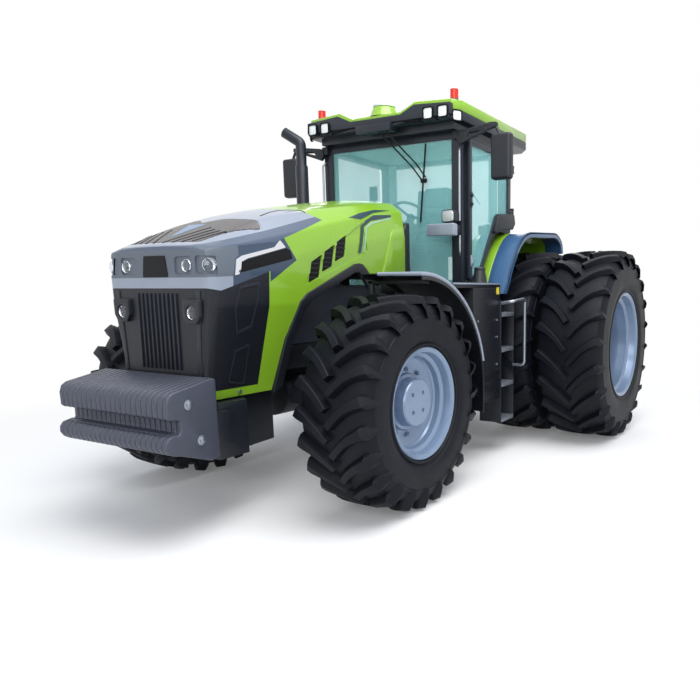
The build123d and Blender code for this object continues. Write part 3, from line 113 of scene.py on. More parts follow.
def end_plate(outline, x0, x1):
    """An outline in Y and Z, pushed along X between two stations."""
    return prism([(at(x0), y, z) for y, z in outline], (x1 - x0, 0, 0))


def top_plate(outline, z0, z1):
    """An outline of stations and Y, pushed up."""
    return prism([(at(x), y, z0) for x, y in outline], (0, 0, z1 - z0))


def box(x0, x1, y0, y1, z0, z1):
    """A block between two corners, its X given as stations."""
    return end_plate([(y0, z0), (y1, z0), (y1, z1), (y0, z1)], x0, x1)


def apply_modifier(obj, kind, **settings):
    """Adds one modifier, sets it and applies it."""
    only(obj)
    made = obj.modifiers.new(kind.title(), kind)
    for name, value in settings.items():
        setattr(made, name, value)
    bpy.ops.object.modifier_apply(modifier=made.name)
    return obj


def soften(obj, width, segments=2, angle=30):
    """Rounds the sharp edges and shades the rest smooth."""
    apply_modifier(obj, "BEVEL", width=width, segments=segments, limit_method="ANGLE",
                   angle_limit=math.radians(angle), use_clamp_overlap=True)
    return smooth(obj, angle)


def smooth(obj, angle=30):
    """Shades smooth up to an angle."""
    only(obj)
    bpy.ops.object.shade_smooth_by_angle(angle=math.radians(angle))
    return obj


def cut(obj, tool, operation="DIFFERENCE"):
    """Cuts one piece with another, which is then removed."""
    apply_modifier(obj, "BOOLEAN", object=tool, operation=operation, solver="EXACT")
    bpy.data.objects.remove(tool)
    return obj


def rounded(outline, radius, steps=4):
    """A flat outline with each corner replaced by an arc."""
    found = []
    count = len(outline)
    for i in range(count):
        corner = Vector(outline[i])
        before = Vector(outline[i - 1]) - corner
        after = Vector(outline[(i + 1) % count]) - corner
        half = before.angle(after) / 2
        reach = min(radius / math.tan(half), before.length * 0.48, after.length * 0.48)
        size = reach * math.tan(half)
        centre = corner + (before.normalized() + after.normalized()).normalized() * size / math.sin(half)
        start = corner + before.normalized() * reach - centre
        end = corner + after.normalized() * reach - centre
        turn = start.angle_signed(end)
        for k in range(steps + 1):
            found.append(tuple(centre + Matrix.Rotation(-turn * k / steps, 2) @ start))
    return found


def lathe(profile, centre, steps=96):
    """Spins a closed outline of radius and Y round the Y axis through centre."""
    cx, cy, cz = centre
    obj = draw([(cx, cy + y, cz + r) for r, y in profile])
    bpy.ops.mesh.delete(type="ONLY_FACE")
    bpy.ops.mesh.select_all(action="SELECT")
    bpy.ops.mesh.spin(steps=steps, angle=2 * math.pi, center=centre, axis=(0, 1, 0))
    return close_up(obj)


def rod(start, end, radius, sides=20):
    """A round bar between two points."""
    a, b = Vector(start), Vector(end)
    bpy.ops.object.select_all(action="DESELECT")
    bpy.ops.mesh.primitive_cylinder_add(vertices=sides, radius=radius, depth=(b - a).length, location=(a + b) / 2,
                                        rotation=(b - a).to_track_quat("Z", "Y").to_euler())
    obj = bpy.context.object
    bpy.ops.object.transform_apply(location=True, rotation=True, scale=True)
    return soften(obj, radius * 0.12, 2)


def tube(points, radius, bend=0.0, sides=4):
    """A bent tube along a line whose corners are rounded by the bend."""
    obj = draw(points, closed=False)
    if bend:
        bpy.ops.mesh.bevel(offset=bend, segments=6, affect="VERTICES")
    bpy.ops.object.mode_set(mode="OBJECT")
    only(obj)
    bpy.ops.object.convert(target="CURVE")
    obj = bpy.context.object
    obj.data.bevel_depth = radius
    obj.data.bevel_resolution = sides
    obj.data.use_fill_caps = True
    bpy.ops.object.convert(target="MESH")
    obj = bpy.context.object
    bpy.ops.object.transform_apply(location=True, rotation=True, scale=True)
    return smooth(obj, 40)


def copy_of(obj, matrix=None):
    """A copy with its own mesh, moved by a matrix in its mesh."""
    made = obj.copy()
    made.data = obj.data.copy()
    bpy.context.collection.objects.link(made)
    if matrix is not None:
        made.data.transform(matrix)
    return made


def mirrored(obj):
    """The same piece on the tractor's right."""
    made = copy_of(obj, Matrix.Scale(-1, 4, (0, 1, 0)))
    made.data.flip_normals()
    return made


def joined(pieces):
    """Several objects made one."""
    bpy.ops.object.select_all(action="DESELECT")
    for piece in pieces:
        piece.select_set(True)
    bpy.context.view_layer.objects.active = pieces[0]
    bpy.ops.object.join()
    return pieces[0]


def turn_about(centre, degrees):
    """A turn round the Y axis through centre."""
    move = Matrix.Translation(centre)
    return move @ Matrix.Rotation(math.radians(degrees), 4, "Y") @ move.inverted()


def grid_skin(rows):
    """A skin through rows of points, from a grid whose points are set one by one."""
    bpy.ops.object.select_all(action="DESELECT")
    across, along = len(rows[0]), len(rows)
    bpy.ops.mesh.primitive_grid_add(x_subdivisions=across - 1, y_subdivisions=along - 1, size=1)
    obj = bpy.context.object
    flat = [point for row in rows for point in row]
    for vertex, point in zip(obj.data.vertices, flat):
        vertex.co = point
    return obj


def close_ends(obj, cap, merge=0.0002):
    """Welds a skin's seam, caps its open ends and leaves edit mode."""
    edit(obj)
    bpy.ops.mesh.remove_doubles(threshold=merge)
    bpy.ops.mesh.select_all(action="DESELECT")
    bpy.ops.mesh.select_non_manifold(extend=False)
    cap()
    return close_up(obj, merge)


def facing(piece, centre, direction):
    """Turns a piece modelled about the origin and looking along +Y to a direction, at a place."""
    turn = Vector(direction).to_track_quat("Y", "Z").to_matrix().to_4x4()
    piece.data.transform(Matrix.Translation(centre) @ turn)
    return piece


def settle(obj, name, body, material, stands_for=()):
    """Names a finished piece, gives it its finish and hands it to the body it rides on."""
    obj.name = name
    obj.data.materials.clear()
    obj.data.materials.append(material)
    for face in obj.data.polygons:
        face.material_index = 0
    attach(obj, body)
    if stands_for:
        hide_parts(*stands_for)
    return obj


# ---------------------------------------------------------------- finishes
def linear(code):
    """An sRGB hex colour as linear values."""
    values = [int(code[i:i + 2], 16) / 255 for i in (0, 2, 4)]
    return tuple(v / 12.92 if v <= 0.04045 else ((v + 0.055) / 1.055) ** 2.4 for v in values) + (1.0,)


def add(tree, kind, sockets=None, **settings):
    """Adds a shader node, sets its properties and fills its sockets with values or links."""
    made = tree.nodes.new("ShaderNode" + kind)
    for name, value in settings.items():
        setattr(made, name, value)
    for name, value in (sockets or {}).items():
        if isinstance(value, bpy.types.NodeSocket):
            tree.links.new(value, made.inputs[name])
        else:
            made.inputs[name].default_value = value
    return made


def finish(name, base, tint, grain, roughness=(0.4, 0.5), bump=0.02, depth=0.001, **sockets):
    """A finish whose colour drifts between two tints over a grain of this many metres, with a fine bump."""
    made = bpy.data.materials.new(name)
    made.use_nodes = True
    tree = made.node_tree
    shader = tree.nodes["Principled BSDF"]
    place = add(tree, "TexCoord").outputs["Object"]
    cloud = add(tree, "TexNoise", {"Vector": place, "Scale": 1 / grain, "Detail": 4.0, "Roughness": 0.6})
    mix = add(tree, "Mix", {0: cloud.outputs["Fac"], 6: linear(base), 7: linear(tint)}, data_type="RGBA")
    tree.links.new(mix.outputs[2], shader.inputs["Base Color"])
    gloss = add(tree, "MapRange", {"Value": cloud.outputs["Fac"], "To Min": roughness[0], "To Max": roughness[1]})
    tree.links.new(gloss.outputs["Result"], shader.inputs["Roughness"])
    pores = add(tree, "TexNoise", {"Vector": place, "Scale": 1 / depth, "Detail": 2.0})
    relief = add(tree, "Bump", {"Height": pores.outputs["Fac"], "Strength": bump, "Distance": depth})
    tree.links.new(relief.outputs["Normal"], shader.inputs["Normal"])
    for name, value in sockets.items():
        shader.inputs[name.replace("_", " ").title().replace("Ior", "IOR")].default_value = value
    return made


def pierced(name, base, dark, pitch, upright=False):
    """A punched sheet: dark round holes on a square pitch, over a level piece or round an upright one."""
    made = finish(name, base, base, 0.1, (0.35, 0.45), 0.1, 0.002, metallic=0.3)
    tree = made.node_tree
    shader = tree.nodes["Principled BSDF"]
    place = add(tree, "TexCoord").outputs["Object"]
    if upright:
        parts = add(tree, "SeparateXYZ", {0: place}).outputs
        round_about = add(tree, "Math", {0: parts["Y"], 1: parts["X"]}, operation="SUBTRACT")
        place = add(tree, "CombineXYZ", {0: round_about.outputs[0], 1: parts["Z"]}).outputs[0]
    cells = add(tree, "TexVoronoi", {"Vector": place, "Scale": 1 / pitch, "Randomness": 0.0},
                voronoi_dimensions="2D")
    hole = add(tree, "MapRange", {"Value": cells.outputs["Distance"], "From Min": 0.36, "From Max": 0.42})
    mix = add(tree, "Mix", {0: hole.outputs["Result"], 6: linear(dark), 7: linear(base)}, data_type="RGBA")
    tree.links.new(mix.outputs[2], shader.inputs["Base Color"])
    return made


# Vulcanised rubber: deep grey-black with dusty paler patches and a faint mould grain.
TYRE_RUBBER = finish("vulcanised_rubber", "0c101a", "070a12", 0.18, (0.42, 0.60), 0.25, 0.004,
                     specular_ior_level=0.2)
# Sprayed acrylic enamel over steel: a wet, even gloss with a very slight orange peel.
GREEN_ENAMEL = finish("green_acrylic_enamel", "88b62a", "7eab27", 0.9, (0.24, 0.32), 0.04, 0.003,
                      coat_weight=0.6, coat_roughness=0.06)
# The same enamel in pale grey, on the moulded bonnet cover.
GREY_ENAMEL = finish("pale_grey_enamel", "8e97a6", "838c9c", 0.7, (0.26, 0.34), 0.04, 0.003,
                     coat_weight=0.5, coat_roughness=0.08)
# Blue-grey enamel on the fenders' outer parts.
BLUE_ENAMEL = finish("blue_grey_enamel", "395f88", "33577e", 0.5, (0.30, 0.40), 0.04, 0.003, coat_weight=0.3)
# The deep slate and indigo of the same enamel, on the nose's tails and the cover's edge.
SLATE_ENAMEL = finish("slate_enamel", "4a586e", "445267", 0.5, (0.28, 0.38), 0.06, 0.003, coat_weight=0.4)
INDIGO_ENAMEL = finish("indigo_enamel", "2c3f57", "283a50", 0.5, (0.28, 0.38), 0.04, 0.003, coat_weight=0.4)
# Injection-moulded ABS: dark, matt, with a fine leather-like stipple.
DARK_PLASTIC = finish("moulded_dark_abs", "141a24", "10141c", 0.12, (0.42, 0.56), 0.3, 0.0015)
# Mid-grey glass-filled nylon for the lamp band.
BAND_PLASTIC = finish("mid_grey_nylon", "5d6570", "555d68", 0.10, (0.35, 0.45), 0.2, 0.0015)
# Silver wheel enamel, metallic flake under lacquer.
WHEEL_SILVER = finish("silver_wheel_enamel", "8093ac", "7588a2", 0.15, (0.26, 0.36), 0.05, 0.002, metallic=0.35,
                      coat_weight=0.3)
# Sand-cast iron under a thin dark paint: coarse skin and a dull sheen.
CAST_IRON = finish("painted_cast_iron", "4c505d", "3f4351", 0.06, (0.36, 0.50), 0.5, 0.003, metallic=0.3)
# Chassis paint: nearly black semi-gloss over plate and castings.
CHASSIS_PAINT = finish("black_chassis_paint", "0f131a", "161b24", 0.16, (0.36, 0.52), 0.25, 0.004)
# Powder-coated steel of the cab's pillars, satin black-blue.
CAB_COAT = finish("satin_powder_coat", "18202b", "141b25", 0.2, (0.32, 0.42), 0.15, 0.0012)
# Zinc-plated steel: bright, slightly cloudy crystals.
ZINC = finish("zinc_plated_steel", "a9b0ba", "8d949f", 0.02, (0.28, 0.45), 0.1, 0.001, metallic=0.9)
# Heat-blued exhaust pipe, satin.
PIPE_STEEL = finish("satin_exhaust_pipe", "1c222c", "171c25", 0.08, (0.30, 0.45), 0.1, 0.002, metallic=0.2)
# Hard chrome on lamp bowls.
CHROME = finish("chrome_plate", "e6e9ee", "dde1e8", 0.2, (0.05, 0.12), 0.0, 0.002, metallic=1.0)
# Black electro-coat on the grille's pressed ribs and frames: satin, faintly metallic.
GRILLE_COAT = finish("black_grille_coat", "272b36", "1f232c", 0.05, (0.38, 0.5), 0.3, 0.002, metallic=0.3)
# The same coat over punched sheet: 9 mm holes at a 12 mm pitch, as coarse as they need to be to show.
MESH_COAT = pierced("punched_grille_sheet", "262a34", "08090c", 0.012, upright=True)

# Rotary-moulded polyethylene of the tanks and fenders: blue-black with a low sheen.
TANK_PLASTIC = finish("moulded_polyethylene", "0c111b", "090d15", 0.25, (0.34, 0.48), 0.2, 0.002)
# Serrated and punched zinc-plated sheet of the steps, its holes drawn coarse at a 22 mm pitch.
TREAD_SHEET = pierced("punched_step_sheet", "9aa1ab", "2a2e35", 0.022)
# Pale foam-backed cloth lining of the cab's roof.
CAB_LINING = finish("pale_cab_lining", "a9c7c2", "a0bfba", 0.02, (0.8, 0.9), 0.3, 0.002)
# Faceted reflector behind a clear lens, drawn as one bright uneven face.
CRYSTAL = finish("faceted_reflector", "f2f5f8", "8f98a4", 0.016, (0.08, 0.2), 0.6, 0.008, metallic=0.8)
# Punched warm-grey sheet of the cover's insert, its holes drawn coarse at a 10 mm pitch.
COVER_MESH = pierced("punched_cover_sheet", "6f6c6c", "4a484b", 0.010)
# Steel-blue enamel of the wedge on the insert: a clean gloss.
STEEL_BLUE = finish("steel_blue_enamel", "2f6b98", "2b648f", 0.3, (0.2, 0.3), 0.02, 0.003, coat_weight=0.4)
# Soft-touch cab mouldings, warm grey.
CAB_TRIM = finish("grey_cab_moulding", "6f7f86", "64747b", 0.15, (0.5, 0.62), 0.25, 0.0015)
# Woven polyester seat cloth.
SEAT_CLOTH = finish("woven_seat_cloth", "3b474d", "2d383e", 0.01, (0.8, 0.9), 0.5, 0.002, sheen_weight=0.3)
# Black plastic with a low sheen: the blank centre panel, side windows, slits, vents and lamp bezels.
BLANK_DARK = finish("blank_gloss_panel", "08090c", "0b0c10", 0.2, (0.40, 0.48), 0.0, 0.002, specular_ior_level=0.2)
# Cast vinyl striping film.
STRIPE_FILM = finish("dark_stripe_film", "29414c", "243a45", 0.2, (0.3, 0.36), 0.0, 0.002)
STRIPE_PALE = finish("pale_stripe_film", "9fc3b5", "96bbad", 0.2, (0.3, 0.36), 0.0, 0.002)
# Yellow vinyl label, left blank.
LABEL_YELLOW = finish("blank_yellow_label", "dcc83a", "d2be30", 0.05, (0.4, 0.5), 0.0, 0.002)


def clear(name, code, roughness=0.02, transmission=1.0, ior=1.45, alpha=1.0):
    """A see-through finish of one colour, its gloss drifting faintly from place to place."""
    made = bpy.data.materials.new(name)
    made.use_nodes = True
    tree = made.node_tree
    shader = tree.nodes["Principled BSDF"]
    cloud = add(tree, "TexNoise", {"Vector": add(tree, "TexCoord").outputs["Object"], "Scale": 3.0})
    film = add(tree, "MapRange", {"Value": cloud.outputs["Fac"], "To Min": roughness, "To Max": roughness + 0.02})
    tree.links.new(film.outputs["Result"], shader.inputs["Roughness"])
    for socket, value in (("Base Color", linear(code)), ("Transmission Weight", transmission), ("IOR", ior),
                          ("Alpha", alpha)):
        shader.inputs[socket].default_value = value
    return made


# Tinted laminated glass with a green-blue body colour.
CAB_GLASS = clear("tinted_laminated_glass", "aefafa", 0.02, transmission=0.0, alpha=0.28)
# Polycarbonate lamp lenses: water-clear with a hard gloss.
LENS = clear("clear_polycarbonate", "f1f5f8", 0.03, ior=1.4)
# Red polycarbonate of the beacons and tail lamps: translucent, lightly frosted.
BEACON_RED = clear("red_polycarbonate", "e2331f", 0.12, 0.35)
# Frosted white face of an unlit lamp: a pale diffuser under a thin clear coat.
LAMP_WHITE = finish("frosted_lamp_face", "eef1f4", "eef1f4", 0.05, (0.30, 0.38), 0.1, 0.004, coat_weight=0.5)


# ---------------------------------------------------------------- wheels
# The tyre's lug, from the middle of the tread to the sidewall. Columns: share of half width,
# share of its sweep round the tyre, drop of its top below the tyre's radius, half width of its top
LUG_STATIONS = [
    (0.030, 0.00, 0.001, 0.022),
    (0.200, 0.26, 0.001, 0.023),
    (0.380, 0.50, 0.002, 0.024),
    (0.580, 0.70, 0.004, 0.027),
    (0.780, 0.84, 0.009, 0.033),
    (0.900, 0.92, 0.020, 0.036),
    (0.975, 0.97, 0.066, 0.034),
    (0.995, 0.99, 0.125, 0.020),
]
LUG_HEIGHT = 0.056
LUG_DRAFT = 0.019


def lug(centre, radius, half_width, sweep):
    """One tread bar, its inner end leading as the wheel rolls forward."""
    rows = []
    for k, (share, turn, drop, half) in enumerate(LUG_STATIONS):
        y, arc = share * half_width, -turn * sweep
        near = LUG_STATIONS[max(k - 1, 0)]
        far = LUG_STATIONS[min(k + 1, len(LUG_STATIONS) - 1)]
        along = Vector(((far[0] - near[0]) * half_width, -(far[1] - near[1]) * sweep)).normalized()
        top = radius - drop
        floor = min(top - 0.012, radius - LUG_HEIGHT - 0.010) if k < 6 else top - 0.050
        across = [(-half - LUG_DRAFT, floor), (-half - 0.001, top - 0.004), (-half + 0.003, top),
                  (half - 0.003, top), (half + 0.001, top - 0.004), (half + LUG_DRAFT, floor)]
        row = []
        for offset, r in across:
            angle = (arc + offset * along.x) / radius
            row.append(centre + Vector((r * math.sin(angle), y - offset * along.y, r * math.cos(angle))))
        rows.append(row + row[:1])
    return close_ends(grid_skin(rows), bpy.ops.mesh.edge_face_add)


def tread(centre, radius, half_width, count, sweep):
    """Both rings of lugs, half a pitch apart, as one mesh."""
    pattern = lug(centre, radius, half_width, sweep)
    pitch = 360 / count
    mirror = Matrix.Translation(centre) @ Matrix.Scale(-1, 4, (0, 1, 0)) @ Matrix.Translation(-centre)
    other = copy_of(pattern, turn_about(centre, pitch / 2) @ mirror)
    other.data.flip_normals()
    pieces = [pattern, other]
    for k in range(1, count):
        pieces += [copy_of(piece, turn_about(centre, pitch * k)) for piece in (pattern, other)]
    return smooth(joined(pieces), 22)


def carcass(centre, radius, half, seat, rim_half):
    """The tyre's casing: beads, ringed sidewalls and the tread floor between the lugs."""
    bead, floor = seat + 0.027, radius - LUG_HEIGHT
    side = [(bead - 0.022, rim_half - 0.004), (bead + 0.006, rim_half + 0.004), (bead + 0.014, rim_half + 0.020),
            (bead + 0.026, rim_half + 0.020), (bead + 0.034, rim_half + 0.010), (bead + 0.052, half - 0.017),
            (bead + 0.056, half - 0.012), (bead + 0.064, half - 0.012), (bead + 0.070, half - 0.008),
            (bead + 0.115, half - 0.001), (bead + 0.160, half), (radius - 0.170, half - 0.003),
            (radius - 0.166, half + 0.001), (radius - 0.150, half - 0.001), (radius - 0.146, half - 0.006),
            (radius - 0.110, half - 0.018), (radius - 0.080, half - 0.042), (floor - 0.006, half * 0.68),
            (floor - 0.001, half * 0.36)]
    profile = side + [(floor, 0.0)] + [(r, -y) for r, y in reversed(side)]
    profile += [(bead - 0.026, -rim_half + 0.03), (bead - 0.026, rim_half - 0.03)]
    return smooth(lathe(profile, centre, 120), 28)


def tyre(centre, radius, half, seat, rim_half, count, sweep):
    """Casing and lugs together."""
    return joined([carcass(centre, radius, half, seat, rim_half), tread(centre, radius, half, count, sweep)])


def bolt_ring(centre, y, radius, count, size, height, phase=0.0):
    """A ring of hexagon bolt heads on washers, facing outboard."""
    bpy.ops.object.select_all(action="DESELECT")
    bpy.ops.mesh.primitive_cylinder_add(vertices=6, radius=size, depth=height,
                                        location=centre + Vector((0, y + height / 2, radius)),
                                        rotation=(math.pi / 2, 0, 0))
    head = bpy.context.object
    bpy.ops.object.transform_apply(location=True, rotation=True, scale=True)
    soften(head, size * 0.12, 1)
    bpy.ops.mesh.primitive_cylinder_add(vertices=16, radius=size * 1.35, depth=0.006,
                                        location=centre + Vector((0, y + 0.003, radius)), rotation=(math.pi / 2, 0, 0))
    washer = bpy.context.object
    bpy.ops.object.transform_apply(location=True, rotation=True, scale=True)
    pattern = joined([head, washer])
    pattern.data.transform(turn_about(centre, phase))
    return joined([pattern] + [copy_of(pattern, turn_about(centre, 360 * k / count)) for k in range(1, count)])


FRONT_TYRE_RADIUS = (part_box("front_tyre_left")[1].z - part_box("front_tyre_left")[0].z) / 2
REAR_TYRE_RADIUS = (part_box("rear_tyres_left")[1].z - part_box("rear_tyres_left")[0].z) / 2
# half widths of the tyres, radii of the bead seats, half widths of the rims, lugs in each ring and their sweep
FRONT_HALF, REAR_HALF = 0.295, 0.340
FRONT_SEAT, REAR_SEAT = 0.381, 0.533
FRONT_RIM_HALF, REAR_RIM_HALF = 0.255, 0.310
FRONT_LUGS, REAR_LUGS = 23, 22
FRONT_SWEEP, REAR_SWEEP = 0.205, 0.275
SHAFT_RADIUS = 0.058
FRONT_CENTRE = Vector((FRONT_AXLE.x, (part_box("front_tyre_left")[0].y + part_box("front_tyre_left")[1].y) / 2,
                       FRONT_AXLE.z))
REAR_LOW, REAR_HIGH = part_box("rear_tyres_left")
REAR_CENTRES = [Vector((REAR_AXLE.x, REAR_LOW.y + REAR_HALF, REAR_AXLE.z)),
                Vector((REAR_AXLE.x, REAR_HIGH.y - REAR_HALF, REAR_AXLE.z))]


def front_rim(centre):
    """The front rim: flanges, stepped well, dished disc and the drum of the hub."""
    seat, half = FRONT_SEAT, FRONT_RIM_HALF
    profile = [
        (seat + 0.027, half), (seat + 0.030, half + 0.007), (seat + 0.024, half + 0.012), (seat + 0.016, half + 0.008),
        (seat - 0.006, half - 0.006), (seat - 0.012, half - 0.030), (seat - 0.016, half - 0.062),
        (seat - 0.040, half - 0.080), (seat - 0.046, half - 0.120), (seat - 0.058, half - 0.134),
        (seat - 0.085, half - 0.140), (seat - 0.105, half - 0.152), (0.215, 0.088), (0.205, 0.104), (0.182, 0.106),
        (0.178, 0.112), (0.176, 0.186), (0.168, 0.197), (0.0, 0.199),
        (0.0, -0.060), (0.176, -0.060), (0.18, 0.060), (seat - 0.085, 0.086), (seat - 0.058, 0.05),
        (seat - 0.055, -half + 0.11), (seat - 0.014, -half + 0.08), (seat - 0.010, -half + 0.01),
        (seat + 0.016, -half - 0.008), (seat + 0.027, -half - 0.010), (seat + 0.027, -half), (seat, -half),
        (seat, -half + 0.09), (seat - 0.046, -half + 0.13), (seat - 0.046, half - 0.13), (seat, half - 0.09),
        (seat, half)]
    rim = smooth(lathe(profile, centre, 96), 28)
    studs = bolt_ring(centre, 0.101, 0.240, 10, 0.013, 0.020)
    for k in range(4):
        turn = math.radians(45 + 90 * k)
        spot = centre + Vector((0.092 * math.sin(turn), 0, 0.092 * math.cos(turn)))
        cut(rim, rod(spot + Vector((0, 0.185, 0)), spot + Vector((0, 0.230, 0)), 0.017, 24))
    return joined([smooth(rim, 28), studs])


def rear_rim(centre, disc_y, outboard):
    """A rear rim with its disc set in or out, flanged hub and studs."""
    seat, half = REAR_SEAT, REAR_RIM_HALF
    profile = [
        (seat + 0.027, half), (seat + 0.030, half + 0.007), (seat + 0.024, half + 0.012), (seat + 0.014, half + 0.008),
        (seat - 0.008, half - 0.008), (seat - 0.014, half - 0.050), (seat - 0.020, half - 0.078),
        (seat - 0.052, half - 0.100), (seat - 0.060, half - 0.180), (seat - 0.066, half - 0.200),
        (seat - 0.066, disc_y + 0.040), (seat - 0.085, disc_y + 0.016), (seat - 0.140, disc_y + 0.004),
        (0.300, disc_y - 0.010), (0.270, disc_y + 0.010), (0.190, disc_y + 0.012), (0.152, disc_y + 0.020),
        (0.148, disc_y + 0.082), (0.138, disc_y + 0.086), (0.0, disc_y + 0.086),
        (0.0, disc_y - 0.080), (0.150, disc_y - 0.080), (0.160, disc_y - 0.022), (seat - 0.075, disc_y - 0.022),
        (seat - 0.060, -half + 0.12), (seat - 0.014, -half + 0.08), (seat - 0.010, -half + 0.01),
        (seat + 0.016, -half - 0.008), (seat + 0.027, -half - 0.010), (seat + 0.027, -half), (seat, -half),
        (seat, -half + 0.09), (seat - 0.048, -half + 0.13), (seat - 0.048, half - 0.13), (seat, half - 0.09),
        (seat, half)]
    rim = smooth(lathe(profile, centre, 96), 28)
    if not outboard:
        return rim
    return joined([rim, bolt_ring(centre, disc_y + 0.012, 0.225, 12, 0.016, 0.022)])


def wheels():
    """All six tyres on their rims."""
    front = tyre(FRONT_CENTRE, FRONT_TYRE_RADIUS, FRONT_HALF, FRONT_SEAT, FRONT_RIM_HALF, FRONT_LUGS, FRONT_SWEEP)
    inner = tyre(REAR_CENTRES[0], REAR_TYRE_RADIUS, REAR_HALF, REAR_SEAT, REAR_RIM_HALF, REAR_LUGS, REAR_SWEEP)
    twin = joined([inner, copy_of(inner, Matrix.Translation(REAR_CENTRES[1] - REAR_CENTRES[0]))])
    rim = front_rim(FRONT_CENTRE)
    shaft = rod((REAR_AXLE.x, 0.40, REAR_AXLE.z),
                (REAR_AXLE.x, REAR_CENTRES[1].y + SHAFT_RADIUS, REAR_AXLE.z), SHAFT_RADIUS, 32)
    rims = joined([rear_rim(REAR_CENTRES[0], 0.15, False), rear_rim(REAR_CENTRES[1], -0.17, True), shaft])
    for piece, stem, body, slot, material in (
            (front, "front_tyre", "front_wheel", "tyre", TYRE_RUBBER),
            (rim, "front_rim", "front_wheel", "rim_silver", WHEEL_SILVER),
            (twin, "rear_tyres", "rear_wheels", "tyre", TYRE_RUBBER),
            (rims, "rear_rims", "rear_wheels", "rim_silver", WHEEL_SILVER)):
        for made, side in ((piece, "left"), (mirrored(piece), "right")):
            settle(made, f"{stem}_{side}_dressed", f"{body}_{side}", material, (f"{stem}_{side}",))


# ---------------------------------------------------------------- weights
WEIGHT_LOW, WEIGHT_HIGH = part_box("front_weights")
WEIGHT_COUNT = 22
WEIGHT_GAP = 0.005
# one casting's outline: distance forward of its back face, height above its foot
WEIGHT_OUTLINE = [
    (0.000, 0.020), (0.060, 0.002), (0.270, 0.078), (0.318, 0.088), (0.352, 0.108), (0.372, 0.140), (0.371, 0.176),
    (0.350, 0.206), (0.318, 0.214), (0.282, 0.208), (0.266, 0.226), (0.266, 0.290), (0.284, 0.304), (0.330, 0.304),
    (0.350, 0.318), (0.352, 0.404), (0.338, 0.446), (0.306, 0.468), (0.226, 0.484), (0.030, 0.524), (0.000, 0.514),
]


def front_weights():
    """The stack of suitcase weights, one casting copied across, with the clamping bolts through it."""
    back, foot = WEIGHT_LOW.x, WEIGHT_LOW.z
    pitch = (WEIGHT_HIGH.y - WEIGHT_LOW.y) / WEIGHT_COUNT
    y0 = WEIGHT_LOW.y + WEIGHT_GAP / 2
    outline = [(back + x, y0, foot + z) for x, z in WEIGHT_OUTLINE]
    casting = soften(prism(outline, (0, pitch - WEIGHT_GAP, 0)), 0.010, 3, 40)
    pieces = [casting]
    for k in range(1, WEIGHT_COUNT):
        pieces.append(copy_of(casting, Matrix.Translation((0, k * pitch, 0))))
    inner = [(back + 0.02 + x * 0.86, foot + 0.03 + z * 0.90) for x, z in WEIGHT_OUTLINE]
    core = prism([(x, WEIGHT_LOW.y + 0.02, z) for x, z in inner], (0, WEIGHT_HIGH.y - WEIGHT_LOW.y - 0.04, 0))
    stack = joined(pieces + [core])
    settle(stack, "front_weights_dressed", "chassis", CAST_IRON, ("front_weights",))
    fittings = []
    edge = WEIGHT_HIGH.y - 0.003
    for side in (1, -1):
        for x, z in ((0.205, 0.382), (0.128, 0.150)):
            for reach, radius, sides in ((0.012, 0.020, 6), (0.003, 0.032, 20)):
                fittings.append(rod((back + x, side * (edge - 0.02), foot + z),
                                    (back + x, side * (edge + reach), foot + z), radius, sides))
    settle(joined(fittings), "weight_bolts", "chassis", ZINC)


wheels()
front_weights()


# ---------------------------------------------------------------- bonnet
# Half sections of the bonnet's skin, from the front to the rear. Columns: station, foot y,
# side y at the crease, crease z, shoulder y, shoulder z, roof edge y, roof edge z, crown z
HOOD_SECTIONS = [
    (4.085, 0.345, 0.455, 1.700, 0.430, 1.840, 0.330, 1.868, 1.880),
    (4.010, 0.360, 0.505, 1.705, 0.490, 1.868, 0.370, 1.905, 1.925),
    (3.520, 0.360, 0.520, 1.800, 0.500, 1.965, 0.380, 2.095, 2.132),
    (2.950, 0.385, 0.520, 1.930, 0.500, 2.105, 0.390, 2.215, 2.262),
    (2.350, 0.385, 0.515, 2.020, 0.490, 2.240, 0.380, 2.325, 2.370),
    (1.960, 0.385, 0.505, 2.060, 0.470, 2.290, 0.360, 2.372, 2.410),
]
HOOD_FOOT = 0.885
HOOD_WAIST = 1.500
HOOD_SKIN = 0.020
CREASE_ROUND = 0.016
# where the bonnet is divided, as stations and heights
ARCH_LINE = [(2.460, 1.677), (2.540, 1.762), (2.600, 1.808), (2.640, 1.816), (2.700, 1.808), (3.255, 1.578),
             (3.325, 1.520), (3.430, 1.250), (3.490, 0.870)]
TRIM_LINE = [(2.505, 1.600), (2.610, 1.718), (2.650, 1.744), (2.700, 1.740), (3.205, 1.530), (3.262, 1.478),
             (3.362, 1.235), (3.408, 0.905)]
FRONT_CORNER = [(3.975, 0.865), (4.100, 1.063), (4.200, 1.063), (4.200, 0.865)]
COVER_LINE = [(4.150, 1.846), (3.520, 1.932), (2.950, 2.146)]
COVER_BAND = [(4.150, 1.869), (4.023, 1.892), (3.574, 2.002), (2.940, 2.176)]
NOSE_TAIL = [(3.595, 1.731), (3.597, 1.658), (3.345, 1.813), (3.440, 1.962)]
GRILLE_REAR = [(3.605, 1.735), (3.625, 0.945)]
# the lamp band, its lip and the hook of bright trim round each side window
LAMP_BAND = [(4.200, 1.675), (3.906, 1.692), (3.880, 1.800), (3.846, 1.826), (3.846, 2.200), (4.200, 2.200)]
LIP = [(4.200, 1.560), (3.940, 1.560), (3.906, 1.640), (3.906, 1.692), (4.200, 1.675)]
HOOK = [(3.896, 1.694), (3.874, 1.797), (3.826, 1.824), (3.540, 1.894), (3.484, 1.944), (3.440, 1.897),
        (3.783, 1.808), (3.835, 1.784), (3.856, 1.702)]
SIDE_WINDOW = [(3.856, 1.716), (3.835, 1.780), (3.780, 1.802), (3.430, 1.893), (3.398, 1.880), (3.384, 1.821),
               (3.822, 1.721)]
